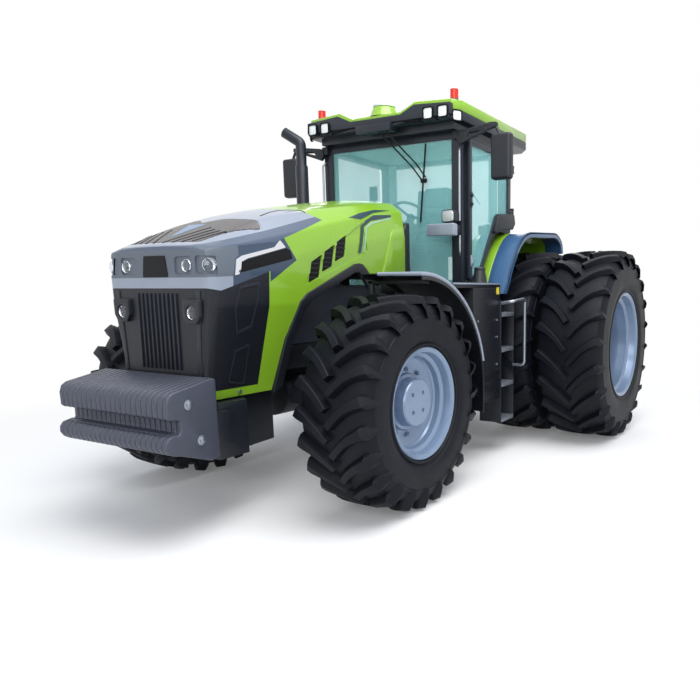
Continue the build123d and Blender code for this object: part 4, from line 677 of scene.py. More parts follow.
# the lamp pods as Y and Z, each with the station its cutting block starts from, and the blank centre panel
PODS = [([(0.190, 1.700), (0.190, 1.812), (0.350, 1.816), (0.350, 1.702)], 4.020),
        ([(0.384, 1.704), (0.384, 1.816), (0.580, 1.812), (0.580, 1.698)], 4.016)]
CENTRE_PANEL = [(-0.105, 1.822), (0.105, 1.822), (0.125, 1.686), (-0.125, 1.686)]
# the cover's insert and its slanted slits, as stations and Y
INSERT = [(4.046, 0.0), (4.040, 0.17), (4.012, 0.352), (3.574, 0.452), (3.560, 0.404), (3.616, 0.122), (3.700, 0.0)]
SLITS = [((4.052, 0.044), (3.790, 0.200)), ((4.046, 0.128), (3.815, 0.262)), ((4.034, 0.206), (3.825, 0.322)),
         ((4.016, 0.284), (3.825, 0.380))]
CURVED_SLIT = [(3.470, 0.318), (3.330, 0.268), (3.230, 0.252), (3.160, 0.280), (3.125, 0.330), (3.111, 0.400)]
WEDGE = [(3.965, 0.0), (3.735, 0.088), (3.735, -0.088)]
# the recess on the shell's side with its three vents, as stations and heights
RECESS = [(3.262, 1.640), (3.225, 1.716), (2.850, 1.985), (2.560, 2.145), (2.520, 1.925), (2.600, 1.875)]
VENT_PITCH = (-0.148, 0.082)
VENT = [(3.072, 1.870), (3.108, 1.700), (3.222, 1.652), (3.196, 1.806)]
REAR_BOX = [(2.330, 1.715), (2.190, 2.070), (2.150, 2.115), (1.985, 2.150), (1.985, 1.760), (2.030, 1.745)]
SWOOSH = [(2.718, 2.170), (2.550, 2.224), (2.340, 2.272), (2.120, 2.290), (2.388, 2.240), (2.576, 2.170)]
BAR = [(2.140, 2.229), (2.140, 2.248), (2.402, 2.220), (2.516, 2.166), (2.578, 2.116), (2.639, 1.900),
       (2.608, 1.900), (2.546, 2.112), (2.450, 2.168)]
PALE_LINE = [(2.150, 2.214), (2.152, 2.222), (2.443, 2.157), (2.518, 2.116), (2.576, 1.905), (2.565, 1.905),
             (2.506, 2.110), (2.420, 2.149)]
MESH_PANELS = [[(3.690, 1.660), (3.745, 1.350), (3.866, 1.310), (3.900, 1.488), (3.860, 1.625)],
               [(3.745, 1.246), (3.866, 1.206), (3.900, 0.990), (3.760, 0.962)]]
# round lamps: place as station, Y and Z, direction and radius
HEAD_LAMPS = [((4.079, 0.300, 1.757), (1, 0, 0), 0.042), ((4.060, 0.484, 1.757), (0.62, 0.78, 0), 0.042)]
WORK_LAMPS = [((4.095, 0.345, 1.460), (1, 0, 0), 0.045)]
WORK_LAMP_BORE = 0.046


def between_rows(rows, steps):
    """Rows of a table run through by a smooth curve."""
    found = []
    for k in range(len(rows) - 1):
        a, b, c, d = (rows[max(k - 1, 0)], rows[k], rows[k + 1], rows[min(k + 2, len(rows) - 1)])
        for i in range(steps):
            t = i / steps
            found.append([q + 0.5 * t * (r - p) + t * t * (p - 2.5 * q + 2 * r - 0.5 * s)
                          + t ** 3 * (1.5 * q - 0.5 * p - 1.5 * r + 0.5 * s) for p, q, r, s in zip(a, b, c, d)])
    return found + [list(rows[-1])]


def half_section(row, inset):
    """One half section as Y and Z, its creases rounded by three points each."""
    _, foot_y, side_y, crease_z, shoulder_y, shoulder_z, edge_y, edge_z, crown_z = row
    keys = [(foot_y - inset, HOOD_FOOT), (side_y - 0.008 - inset, HOOD_WAIST), (side_y - inset, crease_z),
            (shoulder_y - inset, shoulder_z - inset * 0.5), (edge_y - inset * 0.6, edge_z - inset),
            (edge_y * 0.5, edge_z + (crown_z - edge_z) * 0.75 - inset)]
    points = [Vector(keys[0])]
    for before, key, after in zip(keys, keys[1:], keys[2:]):
        before, key, after = Vector(before), Vector(key), Vector(after)
        start = key + (before - key).normalized() * CREASE_ROUND
        end = key + (after - key).normalized() * CREASE_ROUND
        points += [start, (start + end) / 4 + key / 2, end]
    return [(p.x, p.y) for p in points] + [keys[-1], (edge_y * 0.22, crown_z - (crown_z - edge_z) * 0.05 - inset),
                                           (0.0, crown_z - inset)]


def hood_form(inset, rear=0.0):
    """The form with flat front, rear and foot faces, this far inside the bonnet's outer face."""
    rows = between_rows(HOOD_SECTIONS, 5)
    rows[0][0] -= inset
    rows[-1][0] -= rear
    drop = 0.05 if inset else 0.0
    table = []
    for row in rows:
        half = half_section(row, inset)
        whole = [(half[0][0], half[0][1] - drop)] + half[1:] + [(-y, z) for y, z in reversed(half[1:-1])]
        whole += [(-half[0][0], half[0][1] - drop), (half[0][0], half[0][1] - drop)]
        table.append([Vector((at(row[0]), y, z)) for y, z in whole])
    return close_ends(grid_skin(table), lambda: bpy.ops.mesh.fill_holes(sides=0), 0.0001)


def zone(outline, low=-0.8, high=0.8):
    """A cutting block from a side outline."""
    return side_plate(outline, low, high)


def ahead_zone(outline, near=3.90):
    """A cutting block from an outline of Y and Z on the bonnet's face."""
    return end_plate(outline, near, 4.20)


def layer(tool, outer, inner):
    """What lies between two depths of the bonnet's form, inside a cutting block."""
    piece = cut(hood_form(outer), tool, "INTERSECT")
    return cut(piece, hood_form(inner, rear=0.03))


def both(piece):
    """A left piece with its twin on the right."""
    return joined([piece, mirrored(piece)])


def lamp_at(centre, direction, radius):
    """A round lamp facing a direction: a bright stepped bowl with its lens."""
    bowl = lathe([(radius, -0.020), (radius, 0.004), (radius * 0.93, 0.008), (radius * 0.86, 0.004),
                  (radius * 0.82, -0.010), (radius * 0.45, -0.016), (0.0, -0.017), (0.0, -0.020)], ORIGIN, 40)
    glass = lathe([(radius * 0.87, 0.000), (radius * 0.60, 0.0045), (0.0, 0.006), (0.0, 0.002),
                   (radius * 0.60, 0.001), (radius * 0.87, -0.003)], ORIGIN, 40)
    return smooth(facing(bowl, centre, direction), 35), smooth(facing(glass, centre, direction), 50)


def lamp_pairs(make, places):
    """The same lamps on both sides: all their housings as one piece, and all their faces."""
    housings, faces = [], []
    for (x, y, z), (dx, dy, dz), size in places:
        for side in (1, -1):
            housing, face = make((at(x), side * y, z), (dx, side * dy, dz), size)
            housings.append(housing)
            faces.append(face)
    return joined(housings), joined(faces)


def dress(*pieces):
    """Shades bonnet pieces smooth and settles them: piece, name, slot, finish and the CAD node it stands for."""
    for piece, name, slot, material, *nodes in pieces:
        settle(smooth(piece, 24), name, "hood", material, nodes)


def bonnet_panels():
    """Cover, nose, grille and green shell, cut from one skin."""
    skin = cut(hood_form(0.0), hood_form(HOOD_SKIN, rear=0.03))
    skin = cut(skin, zone([(1.90, 1.741), (2.04, 1.735)] + ARCH_LINE + [(3.485, 0.60), (1.90, 0.60)]))
    plan = [(4.20, -0.7), (4.20, 0.7), (2.945, 0.7), (2.945, 0.50), (3.130, 0.385), (3.200, 0.20), (3.215, 0.0),
            (3.200, -0.20), (3.130, -0.385), (2.945, -0.50), (2.945, -0.7)]
    tool = cut(zone(COVER_LINE + [(2.950, 2.7), (4.150, 2.7)]), top_plate(plan, 1.5, 2.8), "INTERSECT")
    cover = cut(copy_of(skin), copy_of(tool), "INTERSECT")
    rest = cut(skin, tool)
    nose_outline = [(4.150, 1.625), (4.000, 1.600)] + NOSE_TAIL + [(3.440, 2.2), (4.150, 2.2)]
    grille_outline = [(4.150, 2.2), (3.400, 2.2)] + GRILLE_REAR + [(4.150, 0.945)]
    nose = cut(copy_of(rest), zone(nose_outline), "INTERSECT")
    rest = cut(rest, zone(nose_outline))
    grille = cut(copy_of(rest), zone(grille_outline), "INTERSECT")
    shell = cut(rest, zone(grille_outline))
    cut(grille, zone(FRONT_CORNER))
    cut(shell, zone(FRONT_CORNER))
    return cover, nose, grille, shell


def strip(line, half_width):
    """The outline of a band of one width along a line of points."""
    left, right = [], []
    for k, point in enumerate(line):
        run = Vector(line[min(k + 1, len(line) - 1)]) - Vector(line[max(k - 1, 0)])
        across = Vector((-run.y, run.x)).normalized() * half_width
        left.append(tuple(Vector(point) + across))
        right.append(tuple(Vector(point) - across))
    return left + right[::-1]


def cover_details(cover):
    """The cover with its darker side band, and the slitted insert over the nose."""
    band_zone = zone([(4.2, 1.70), (2.90, 1.70), (2.90, 2.176)] + COVER_BAND[::-1])
    band = cut(copy_of(cover), copy_of(band_zone), "INTERSECT")
    cut(cover, band_zone)
    outline = INSERT + [(x, -y) for x, y in reversed(INSERT[1:-1])]
    cut(cover, cut(top_plate(rounded(outline, 0.02), 1.80, 2.20), hood_form(0.004)))
    inset = [(3.86 + (x - 3.86) * 0.97, y * 0.97) for x, y in outline]
    insert = layer(top_plate(rounded(inset, 0.02), 1.80, 2.20), -0.001, 0.008)
    slots = [both(layer(top_plate(strip(line, 0.0055), 1.70, 2.20), -0.0035, 0.004)) for line in SLITS]
    slots.append(both(layer(top_plate(strip(CURVED_SLIT, 0.006), 1.70, 2.50), -0.0015, 0.004)))
    wedge = layer(top_plate(WEDGE, 1.80, 2.30), -0.0022, 0.004)
    dress((cover, "bonnet_cover_dressed", "light_grey_paint", GREY_ENAMEL, "hood_cover"),
          (band, "bonnet_cover_side_band", "flare_paint", SLATE_ENAMEL),
          (insert, "bonnet_cover_insert", "light_grey_paint", COVER_MESH),
          (joined(slots), "bonnet_cover_slits", "dark_plastic", BLANK_DARK),
          (wedge, "bonnet_cover_wedge", "flare_paint", STEEL_BLUE))


def nose_details(nose):
    """The lamp band with four lamps in sunk pods, its pale lip, the side windows and their hooked trim."""
    band = cut(copy_of(nose), zone(LAMP_BAND), "INTERSECT")
    tail = cut(nose, zone(LAMP_BAND))
    lip = cut(copy_of(tail), zone(LIP), "INTERSECT")
    cut(tail, zone(LIP))
    floors = []
    for outline, near in PODS:
        for side in (1, -1):
            tool = ahead_zone(rounded([(side * y, z) for y, z in outline], 0.022), near)
            cut(band, cut(copy_of(tool), hood_form(0.013)))
            floors.append(layer(tool, 0.0095, 0.016))
    panel = layer(ahead_zone(rounded(CENTRE_PANEL, 0.01)), -0.004, 0.004)
    windows = both(layer(zone(rounded(SIDE_WINDOW, 0.010), 0.2), -0.001, 0.006))
    dress((band, "bonnet_nose_dressed", "dark_paint", BAND_PLASTIC, "hood_nose"),
          (joined(floors), "bonnet_lamp_beds", "dark_paint", BAND_PLASTIC),
          (lip, "bonnet_lip", "light_grey_paint", GREY_ENAMEL),
          (tail, "bonnet_nose_tails", "flare_paint", INDIGO_ENAMEL),
          (panel, "bonnet_centre_panel", "dark_gloss", BLANK_DARK),
          (windows, "bonnet_side_windows", "dark_gloss", BLANK_DARK))
    hooks = both(layer(zone(rounded(HOOK, 0.006), 0.2), -0.006, 0.004))
    settle(soften(hooks, 0.003, 2), "bonnet_hook_trims", "hood", CHROME)
    bowls, glasses = lamp_pairs(lamp_at, HEAD_LAMPS)
    settle(bowls, "bonnet_head_lamps", "hood", CHROME)
    settle(glasses, "bonnet_head_lenses", "hood", LENS)


def grille_details(grille):
    """The mesh grille with its ribs, side mesh panels and the two cornered work lamps."""
    settle(smooth(grille, 24), "bonnet_grille_dressed", "hood", MESH_COAT, ("hood_grille",))
    ribs = []
    for k in range(10):
        y = (k - 4.5) * 0.042
        ribs.append(box(4.078, 4.097, y - 0.006, y + 0.006, 1.085, 1.582))
    settle(soften(joined(ribs), 0.0035, 2), "bonnet_grille_ribs", "hood", GRILLE_COAT)
    frames = []
    for outline in MESH_PANELS:
        middle = sum((Vector(p) for p in outline), Vector((0, 0))) / len(outline)
        inner = [middle + (Vector(p) - middle) * 0.86 for p in outline]
        frame_piece = layer(zone(rounded(outline, 0.012), 0.2, 0.8), -0.004, 0.004)
        frames.append(cut(frame_piece, zone(rounded(inner, 0.010), 0.1, 0.9)))
    edge = [(0.385, 1.600), (0.420, 1.600), (0.372, 0.960), (0.340, 0.960)]
    frames.append(layer(ahead_zone(edge, 3.95), -0.005, 0.004))
    settle(soften(both(joined(frames)), 0.002, 2), "bonnet_grille_frames", "hood", GRILLE_COAT)
    house = [(0.272, 1.545), (0.428, 1.545), (0.424, 1.440), (0.392, 1.392), (0.298, 1.392), (0.268, 1.440)]
    shroud = end_plate(rounded(house, 0.012), 4.060, 4.112)
    x, y, z = WORK_LAMPS[0][0]
    cut(shroud, rod((at(x - 0.06), y, z), (at(x + 0.09), y, z), WORK_LAMP_BORE, 40))
    settle(soften(both(shroud), 0.004, 2), "bonnet_work_lamp_shrouds", "hood", DARK_PLASTIC)
    bowls, glasses = lamp_pairs(lamp_at, WORK_LAMPS)
    settle(bowls, "bonnet_work_lamps", "hood", CHROME)
    settle(glasses, "bonnet_work_lenses", "hood", LENS)


def shell_details(shell):
    """The sunk side panel with its three vents, the raised box at the rear and the stripes."""
    cut(shell, both(cut(zone(RECESS, 0.0), hood_form(0.007))))
    openings = [rounded([(x + k * VENT_PITCH[0], z + k * VENT_PITCH[1]) for x, z in VENT], 0.008) for k in range(3)]
    for outline in openings:
        cut(shell, both(cut(zone(outline, 0.0), hood_form(0.016))))
    settle(smooth(shell, 22), "bonnet_shell_dressed", "hood", GREEN_ENAMEL, ("hood_shell",))
    vents, blades = [], []
    for outline in openings:
        vents.append(layer(zone(outline, 0.2), 0.0125, 0.018))
        low, high = min(z for x, z in outline), max(z for x, z in outline)
        for j in range(1, 6):
            z = low + (high - low) * j / 6
            slat = zone([(2.4, z), (3.5, z), (3.5, z + 0.007), (2.4, z + 0.007)])
            blades.append(layer(cut(zone(outline, 0.2), slat, "INTERSECT"), 0.0070, 0.013))
    settle(both(joined(vents)), "bonnet_vents", "hood", BLANK_DARK)
    settle(both(joined(blades)), "bonnet_vent_blades", "hood", GRILLE_COAT)
    raised = both(layer(zone(REAR_BOX, 0.0), -0.010, 0.004))
    settle(soften(raised, 0.008, 3), "bonnet_rear_box", "hood", GREEN_ENAMEL)
    films = joined([layer(zone(outline, 0.0), -0.0012, 0.004) for outline in (SWOOSH, BAR)])
    pale = layer(zone(PALE_LINE, 0.0), -0.0016, 0.004)
    dress((both(films), "bonnet_stripes", "dark_gloss", STRIPE_FILM),
          (both(pale), "bonnet_pale_stripe", "light_grey_paint", STRIPE_PALE))
    bolts = [rod((at(3.783), side * 0.345, 0.915), (at(3.783), side * 0.378, 0.915), 0.016, 6) for side in (1, -1)]
    settle(joined(bolts), "bonnet_latch_bolts", "hood", ZINC)


cover, nose, grille, shell = bonnet_panels()
cover_details(cover)
nose_details(nose)
grille_details(grille)
shell_details(shell)
settle(soften(both(layer(zone(ARCH_LINE + list(reversed(TRIM_LINE)), 0.0, 0.8), -0.016, 0.022)), 0.008, 3),
       "bonnet_arch_trims", "hood", DARK_PLASTIC, ("arch_trims",))


# ---------------------------------------------------------------- pieces whose CAD shape is kept
BODY_OF = {node: body for body, nodes in frame["record"]["behaviour"]["bodies"].items() for node in nodes}
# pieces that keep their CAD mesh and get their real finish
PLAIN = {
    "tie_rod": ZINC, "cab_floor": CHASSIS_PAINT, "cab_glass": CAB_GLASS, "door_glass": CAB_GLASS,
    "steering_wheel": DARK_PLASTIC, "beacons": BEACON_RED, "lower_links": CHASSIS_PAINT, "lift_arms": CHASSIS_PAINT,
    "lift_rods": ZINC, "top_link": ZINC,
}
# pieces whose edges are rounded as cast, bent or moulded: finish and the rounding's width
ROUNDED = {
    "front_axle": (CHASSIS_PAINT, 0.010), "front_frame": (CHASSIS_PAINT, 0.008), "engine": (CAST_IRON, 0.012),
    "transmission": (CHASSIS_PAINT, 0.010), "knuckle_left": (CHASSIS_PAINT, 0.008),
    "knuckle_right": (CHASSIS_PAINT, 0.008), "mirrors": (DARK_PLASTIC, 0.004), "side_tanks": (TANK_PLASTIC, 0.010),
    "cab_frame": (CAB_COAT, 0.010), "door_frame": (CAB_COAT, 0.008), "roof_base": (CAB_COAT, 0.016),
    "roof_skin": (GREEN_ENAMEL, 0.012), "dashboard": (CAB_TRIM, 0.020), "exhaust": (PIPE_STEEL, 0.004),
    "pillar_lamps": (DARK_PLASTIC, 0.004), "ladder": (CHASSIS_PAINT, 0.003),
}


def kept_pieces():
    """Gives every kept piece its finish, and rounds the edges of those that are cast, bent or moulded."""
    for node, material in PLAIN.items():
        for slot in frame["nodes"][node].material_slots:
            slot.material = material
    for node, (material, width) in ROUNDED.items():
        made = bpy.data.objects.new(node, frame["nodes"][node].data.copy())
        bpy.context.collection.objects.link(made)
        only(made)
        bpy.ops.mesh.customdata_custom_splitnormals_clear()
        edit(made)
        bpy.ops.mesh.remove_doubles(threshold=0.0001)
        bpy.ops.mesh.dissolve_limited(angle_limit=math.radians(1))
        bpy.ops.object.mode_set(mode="OBJECT")
        soften(made, width, 2, 40)
        settle(made, node + "_dressed", BODY_OF[node], material, (node,))


# ---------------------------------------------------------------- front fenders
def front_fender():
    """The left sheet over the front tyre, its post and the turned lip, whose pale grey is a painted highlight along
    the black sheet's edge.
    """
    radius, inner, outer, tail = 0.930, 0.850, 1.380, 0.570
    x, z = FRONT_AXLE.x, FRONT_AXLE.z
    profile = [(radius - 0.040, inner), (radius - 0.010, inner), (radius - 0.002, inner + 0.010),
               (radius - 0.001, inner + 0.200), (radius, outer - 0.070), (radius - 0.004, outer - 0.030),
               (radius - 0.014, outer - 0.008), (radius - 0.028, outer - 0.002), (radius - 0.045, outer - 0.002)]
    sheet = draw([(x - r, y, tail) for r, y in profile], closed=False)
    bpy.ops.mesh.extrude_region_move(TRANSFORM_OT_translate={"value": (0, 0, z - tail)})
    bpy.ops.mesh.spin(steps=40, angle=math.radians(-92), center=(x, 0, z), axis=(0, 1, 0))
    bpy.ops.object.mode_set(mode="OBJECT")
    apply_modifier(sheet, "SOLIDIFY", thickness=0.008, offset=0.0)
    edit(sheet)
    close_up(sheet)
    rise = math.sqrt(0.918 ** 2 - 0.200 ** 2)
    posts = [box(2.800, 2.840, 0.760, 0.800, z + 0.030, z + rise - 0.012),
             box(2.800, 2.9197, 0.760, 0.800, z + 0.030, z + 0.120),
             box(2.800, 2.840, 0.760, 1.300, z + rise - 0.040, z + rise - 0.010)]
    post = soften(joined(posts), 0.004, 2)
    # The turned lip: a real rolled edge, but its pale grey enamel is a painted highlight where the black sheet's edge
    # catches the light.
    arc = [Vector((x - (radius - 0.004) * math.cos(math.radians(a)), outer - 0.010,
                   z + (radius - 0.004) * math.sin(math.radians(a)))) for a in range(14, 93, 3)]
    arc += [Vector((x + 0.028, outer - 0.036, z + radius - 0.004)), Vector((x + 0.029, 1.000, z + radius - 0.004))]
    lip = tube(arc, 0.015)
    return smooth(sheet, 30), post, lip


def front_fenders():
    """Both front fenders, each on its steered knuckle."""
    sheet, post, lip = front_fender()
    # The lip's pale grey finish is a painted highlight along the fender's edge.
    for piece, stem, slot, material in ((sheet, "front_fender", "dark_plastic", TANK_PLASTIC),
                                        (post, "front_fender_post", "chassis_grey", CHASSIS_PAINT),
                                        (lip, "front_fender_highlight_lip", "light_grey_paint", GREY_ENAMEL)):
        for made, side in ((piece, "left"), (mirrored(piece), "right")):
            node = (f"front_fender_{side}",) if stem == "front_fender" else ()
            settle(made, f"{stem}_{side}_dressed", f"steering_{side}", material, node)


# ---------------------------------------------------------------- rear fenders
REAR_FENDER = [(1.150, 1.560), (1.010, 1.840), (0.720, 2.190), (-0.250, 2.250), (-0.420, 2.150), (-0.450, 2.020)]
FENDER_SKIN, FENDER_LIP = 0.030, 0.060


def fender_band(thick):
    """The fender's curved section, this thick under its outer face."""
    outer = [Vector(p) for p in REAR_FENDER]
    bends = [(0.15, 6), (0.24, 10), (0.095, 5), (0.062, 4)]
    line = [outer[0]]
    for before, corner, after, (reach, steps) in zip(outer, outer[1:], outer[2:], bends):
        start = corner + (before - corner).normalized() * reach
        end = corner + (after - corner).normalized() * reach
        for k in range(steps + 1):
            t = k / steps
            line.append(start * (1 - t) ** 2 + corner * 2 * t * (1 - t) + end * t * t)
    line.append(outer[-1])
    inner = []
    for k, point in enumerate(line):
        along = (line[min(k + 1, len(line) - 1)] - line[max(k - 1, 0)]).normalized()
        inner.append(point + Vector((-along.y, along.x)) * thick)
    inner[0].y, inner[-1].y = line[0].y, line[-1].y
    return [tuple(p) for p in line], [tuple(p) for p in inner]


def rear_fenders():
    """Green fenders with the wheel boxes' walls, and the flares with their rolled lips."""
    line, inner = fender_band(FENDER_SKIN)
    lip_inner = fender_band(FENDER_LIP)[1]
    skin = side_plate(line + inner[::-1], 0.530, 0.900)
    wall = side_plate(line + [(-0.450, 1.740), (-0.100, 1.500), (1.150, 1.500)], 0.530, 0.560)
    green = joined([soften(skin, 0.006, 2, 35), wall])
    flare = side_plate(line + inner[::-1], 0.9003, 1.120)
    lip = side_plate(line + lip_inner[::-1], 1.090, 1.120)
    grey = joined([soften(flare, 0.010, 3, 35), soften(lip, 0.010, 3, 35)])
    settle(both(green), "rear_fenders_dressed", "chassis", GREEN_ENAMEL, ("rear_fenders",))
    settle(both(grey), "fender_flares_dressed", "chassis", BLUE_ENAMEL, ("fender_flares",))
    block_line = rounded([(0.93, 2.150), (0.86, 2.330), (0.80, 2.370), (0.47, 2.400), (0.44, 2.300), (0.50, 2.235),
                          (0.74, 2.215)], 0.025)
    boots = side_plate(block_line, 0.826, 0.900)
    settle(both(soften(boots, 0.010, 3)), "fender_corner_boots", "chassis", DARK_PLASTIC)


# ---------------------------------------------------------------- side fittings
HANDRAIL = [(1.3247, 1.165, 1.475), (1.3247, 1.290, 1.495), (1.058, 1.290, 1.515), (1.058, 1.290, 0.860),
            (1.058, 1.165, 0.860)]
LADDER_STEPS = (0.350, 0.700, 1.040, 1.380)


def side_fittings():
    """Deck edges and treads, the ladder's treads and handrail, the blank label, the filler's cap and the bolts."""
    edge = soften(box(1.346, 2.231, 1.158, 1.166, 1.648, 1.661), 0.002, 2)
    rail = tube([(at(x), y, z) for x, y, z in HANDRAIL], 0.0155, 0.045)
    deck = soften(box(1.375, 2.205, 0.860, 1.140, 1.660, 1.664), 0.0015, 1)
    treads = []
    for z in LADDER_STEPS:
        treads.append(box(1.058, 1.328, 0.945, 1.168, z - 0.003, z + 0.0045))
        treads.append(box(1.058, 1.328, 1.164, 1.173, z - 0.034, z + 0.0045))
    label = soften(box(1.370, 1.425, 1.160, 1.1625, 1.560, 1.625), 0.001, 1)
    cap = lathe([(0.000, 0.000), (0.050, 0.000), (0.052, 0.006), (0.052, 0.022), (0.046, 0.030), (0.020, 0.034),
                 (0.0, 0.034)], ORIGIN, 24)
    cap.data.transform(Matrix.Translation((at(1.560), 1.055, 1.776)) @ Matrix.Rotation(math.radians(90), 4, "X"))
    bolts = [rod((at(x), 1.158, z), (at(x), 1.172, z), 0.011, 6) for z in (0.90, 1.16, 1.32) for x in (1.42, 1.80)]
    for piece, name, slot, material in (
            (both(edge), "deck_edges", "light_grey_paint", GREY_ENAMEL),
            (rail, "ladder_handrail", "steel", ZINC),
            (both(deck), "deck_treads", "dark_plastic", TREAD_SHEET),
            (soften(joined(treads), 0.002, 2), "ladder_treads", "steel", TREAD_SHEET),
            (label, "tank_label", "light_grey_paint", LABEL_YELLOW),
            (smooth(cap, 30), "filler_cap_top", "dark_plastic", DARK_PLASTIC),
            (both(joined(bolts)), "tank_bolts", "steel", ZINC)):
        settle(piece, name, "chassis", material)


# ---------------------------------------------------------------- cab outside
def square_lamp(centre, direction, size):
    """A square work lamp: a rounded dark bezel round a white face."""
    s = size / 2
    outline = rounded([(-s, -s), (s, -s), (s, s), (-s, s)], size * 0.2)
    hole = rounded([(-s * 0.8, -s * 0.8), (s * 0.8, -s * 0.8), (s * 0.8, s * 0.8), (-s * 0.8, s * 0.8)], size * 0.14)
    bezel = cut(prism([(x, -0.004, z) for x, z in outline], (0, 0.020, 0)),
                prism([(x, -0.020, z) for x, z in hole], (0, 0.060, 0)))
    face = prism([(x * 0.99, -0.002, z * 0.99) for x, z in hole], (0, 0.010, 0))
    return (facing(soften(bezel, 0.003, 2), centre, direction), facing(soften(face, 0.003, 2), centre, direction))


def tail_lamps():
    """A red lamp on each rear fender's trailing edge."""
    lamps = [box(-0.462, -0.425, *sorted((side * 0.930, side * 1.060)), 2.035, 2.115) for side in (1, -1)]
    settle(soften(joined(lamps), 0.006, 2), "tail_lamps", "chassis", BEACON_RED)


def roof_fittings():
    """The dark brow under the skin's edge, work lamps at the corners, beacon feet and the dome's cap."""
    edge = [(0.835, 3.150), (0.830, 3.252), (0.445, 3.276), (0.290, 3.208), (0.0, 3.206)]
    brow = edge + [(-y, z) for y, z in reversed(edge[:-1])]
    settle(soften(end_plate(brow, 1.640, 1.697), 0.006, 2), "roof_brow", "chassis", CAB_COAT)
    places = [((1.697, y, 3.180), (1, 0, 0), 0.112) for y in (0.602, 0.757)]
    places.append(((1.612, 0.851, 3.150), (0.555, 0.832, 0), 0.100))
    rear_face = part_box("cab_frame")[0].x - 0.060 - REAR_AXLE.x
    places += [((rear_face, y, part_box("roof_base")[0].z + 0.028), (-1, 0, 0), 0.084) for y in (0.500, 0.640)]
    bezels, faces = lamp_pairs(square_lamp, places)
    settle(bezels, "roof_lamp_bezels", "chassis", BLANK_DARK)
    settle(faces, "roof_lamp_faces", "chassis", LAMP_WHITE)
    feet = []
    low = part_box("beacons")[0].z
    for side in (1, -1):
        foot = lathe([(0.0, -0.012), (0.050, -0.012), (0.050, 0.004), (0.043, 0.016), (0.0385, 0.020), (0.0385, 0.0),
                      (0.0, 0.0)], ORIGIN, 28)
        feet.append(facing(smooth(foot, 30), (at(1.530), side * 0.780, low + 0.002), (0, 0, 1)))
    settle(joined(feet), "beacon_feet", "chassis", GRILLE_COAT)
    dome = lathe([(0.0, 0.0), (0.096, 0.0), (0.110, 0.006), (0.112, 0.022), (0.100, 0.030), (0.0, 0.034)],
                 ORIGIN, 40)
    facing(smooth(dome, 30), (at(1.530), 0, 3.334), (0, 0, 1))
    settle(dome, "roof_dome_cap", "chassis", LAMP_WHITE)


def wipers():
    """The screen's long wiper: two arms from under the brow to one blade."""
    arms = [tube([(at(1.700), 0.028, 3.100), (at(1.520), 0.300, 2.770), (at(1.492), 0.400, 2.634)], 0.0075),
            tube([(at(1.700), 0.100, 3.100), (at(1.520), 0.350, 2.790), (at(1.492), 0.436, 2.664)], 0.0075)]
    blade = box(1.476, 1.490, 0.395, 0.409, 2.246, 2.977)
    blade.data.transform(Matrix.Translation((at(1.483), 0.402, 2.633)) @ Matrix.Rotation(math.radians(-5.5), 4, "X")
                         @ Matrix.Translation((-at(1.483), -0.402, -2.633)))
    head = box(1.482, 1.502, 0.380, 0.450, 2.615, 2.655)
    settle(joined(arms + [soften(blade, 0.004, 2), soften(head, 0.006, 2)]), "wiper", "chassis",
           BLANK_DARK)


def pillar_fittings():
    """The work lamp and the blank box on each front pillar, the grab tube and the mirrors' brackets."""
    rim = rounded([(0.695, 2.214), (0.825, 2.222), (0.832, 2.300), (0.806, 2.336), (0.700, 2.334), (0.688, 2.300)],
                  0.02)
    lens = [(0.760 + (y - 0.760) * 0.86, 2.275 + (z - 2.275) * 0.84) for y, z in rim]
    crate = rounded([(0.560, 2.098), (0.860, 2.092), (0.860, 2.196), (0.845, 2.206), (0.570, 2.204)], 0.012)
    bracket = [(0.790, 2.965), (0.800, 3.035), (0.845, 3.045), (1.140, 3.085), (1.200, 3.080), (1.205, 3.050),
               (0.900, 2.950), (0.830, 2.925)]
    window = [(0.900, 2.985), (0.930, 3.030), (1.120, 3.058), (1.110, 3.040)]
    upper = [(at(1.480), 0.800, 2.900), (at(1.505), 0.815, 2.870), (at(1.505), 0.815, 2.240)]
    lower = [(at(1.505), 0.815, 2.110), (at(1.505), 0.815, 1.960), (at(1.480), 0.800, 1.930)]
    glass = rounded([(1.172, 2.610), (1.328, 2.610), (1.328, 2.950), (1.172, 2.950)], 0.03)
    for piece, name, slot, material in (
            (soften(end_plate(rim, 1.596, 1.627), 0.006, 2), "pillar_lamp_shells", "dark_plastic", DARK_PLASTIC),
            (soften(end_plate(lens, 1.622, 1.633), 0.005, 3), "pillar_lamp_faces", "steel", CRYSTAL),
            (soften(end_plate(crate, 1.620, 1.700), 0.012, 3), "pillar_boxes", "light_grey_paint", GREY_ENAMEL),
            (soften(cut(end_plate(rounded(bracket, 0.008), 1.482, 1.520), end_plate(window, 1.40, 1.60)), 0.004, 2),
             "mirror_brackets", "dark_plastic", DARK_PLASTIC),
            (joined([tube(upper, 0.011), tube(lower, 0.011)]), "pillar_tubes", "steel", ZINC),
            (soften(end_plate(glass, 1.452, 1.457), 0.001, 1), "mirror_glasses", "steel", CHROME)):
        settle(both(piece), name, "chassis", material)


def door_plate(x0, x1, z0, z1, corner, y0, y1, edge):
    """A plate with rounded corners on the door's outer face."""
    outline = rounded([(x0, z0), (x1, z0), (x1, z1), (x0, z1)], corner)
    return soften(side_plate(outline, y0, y1), edge, 2)


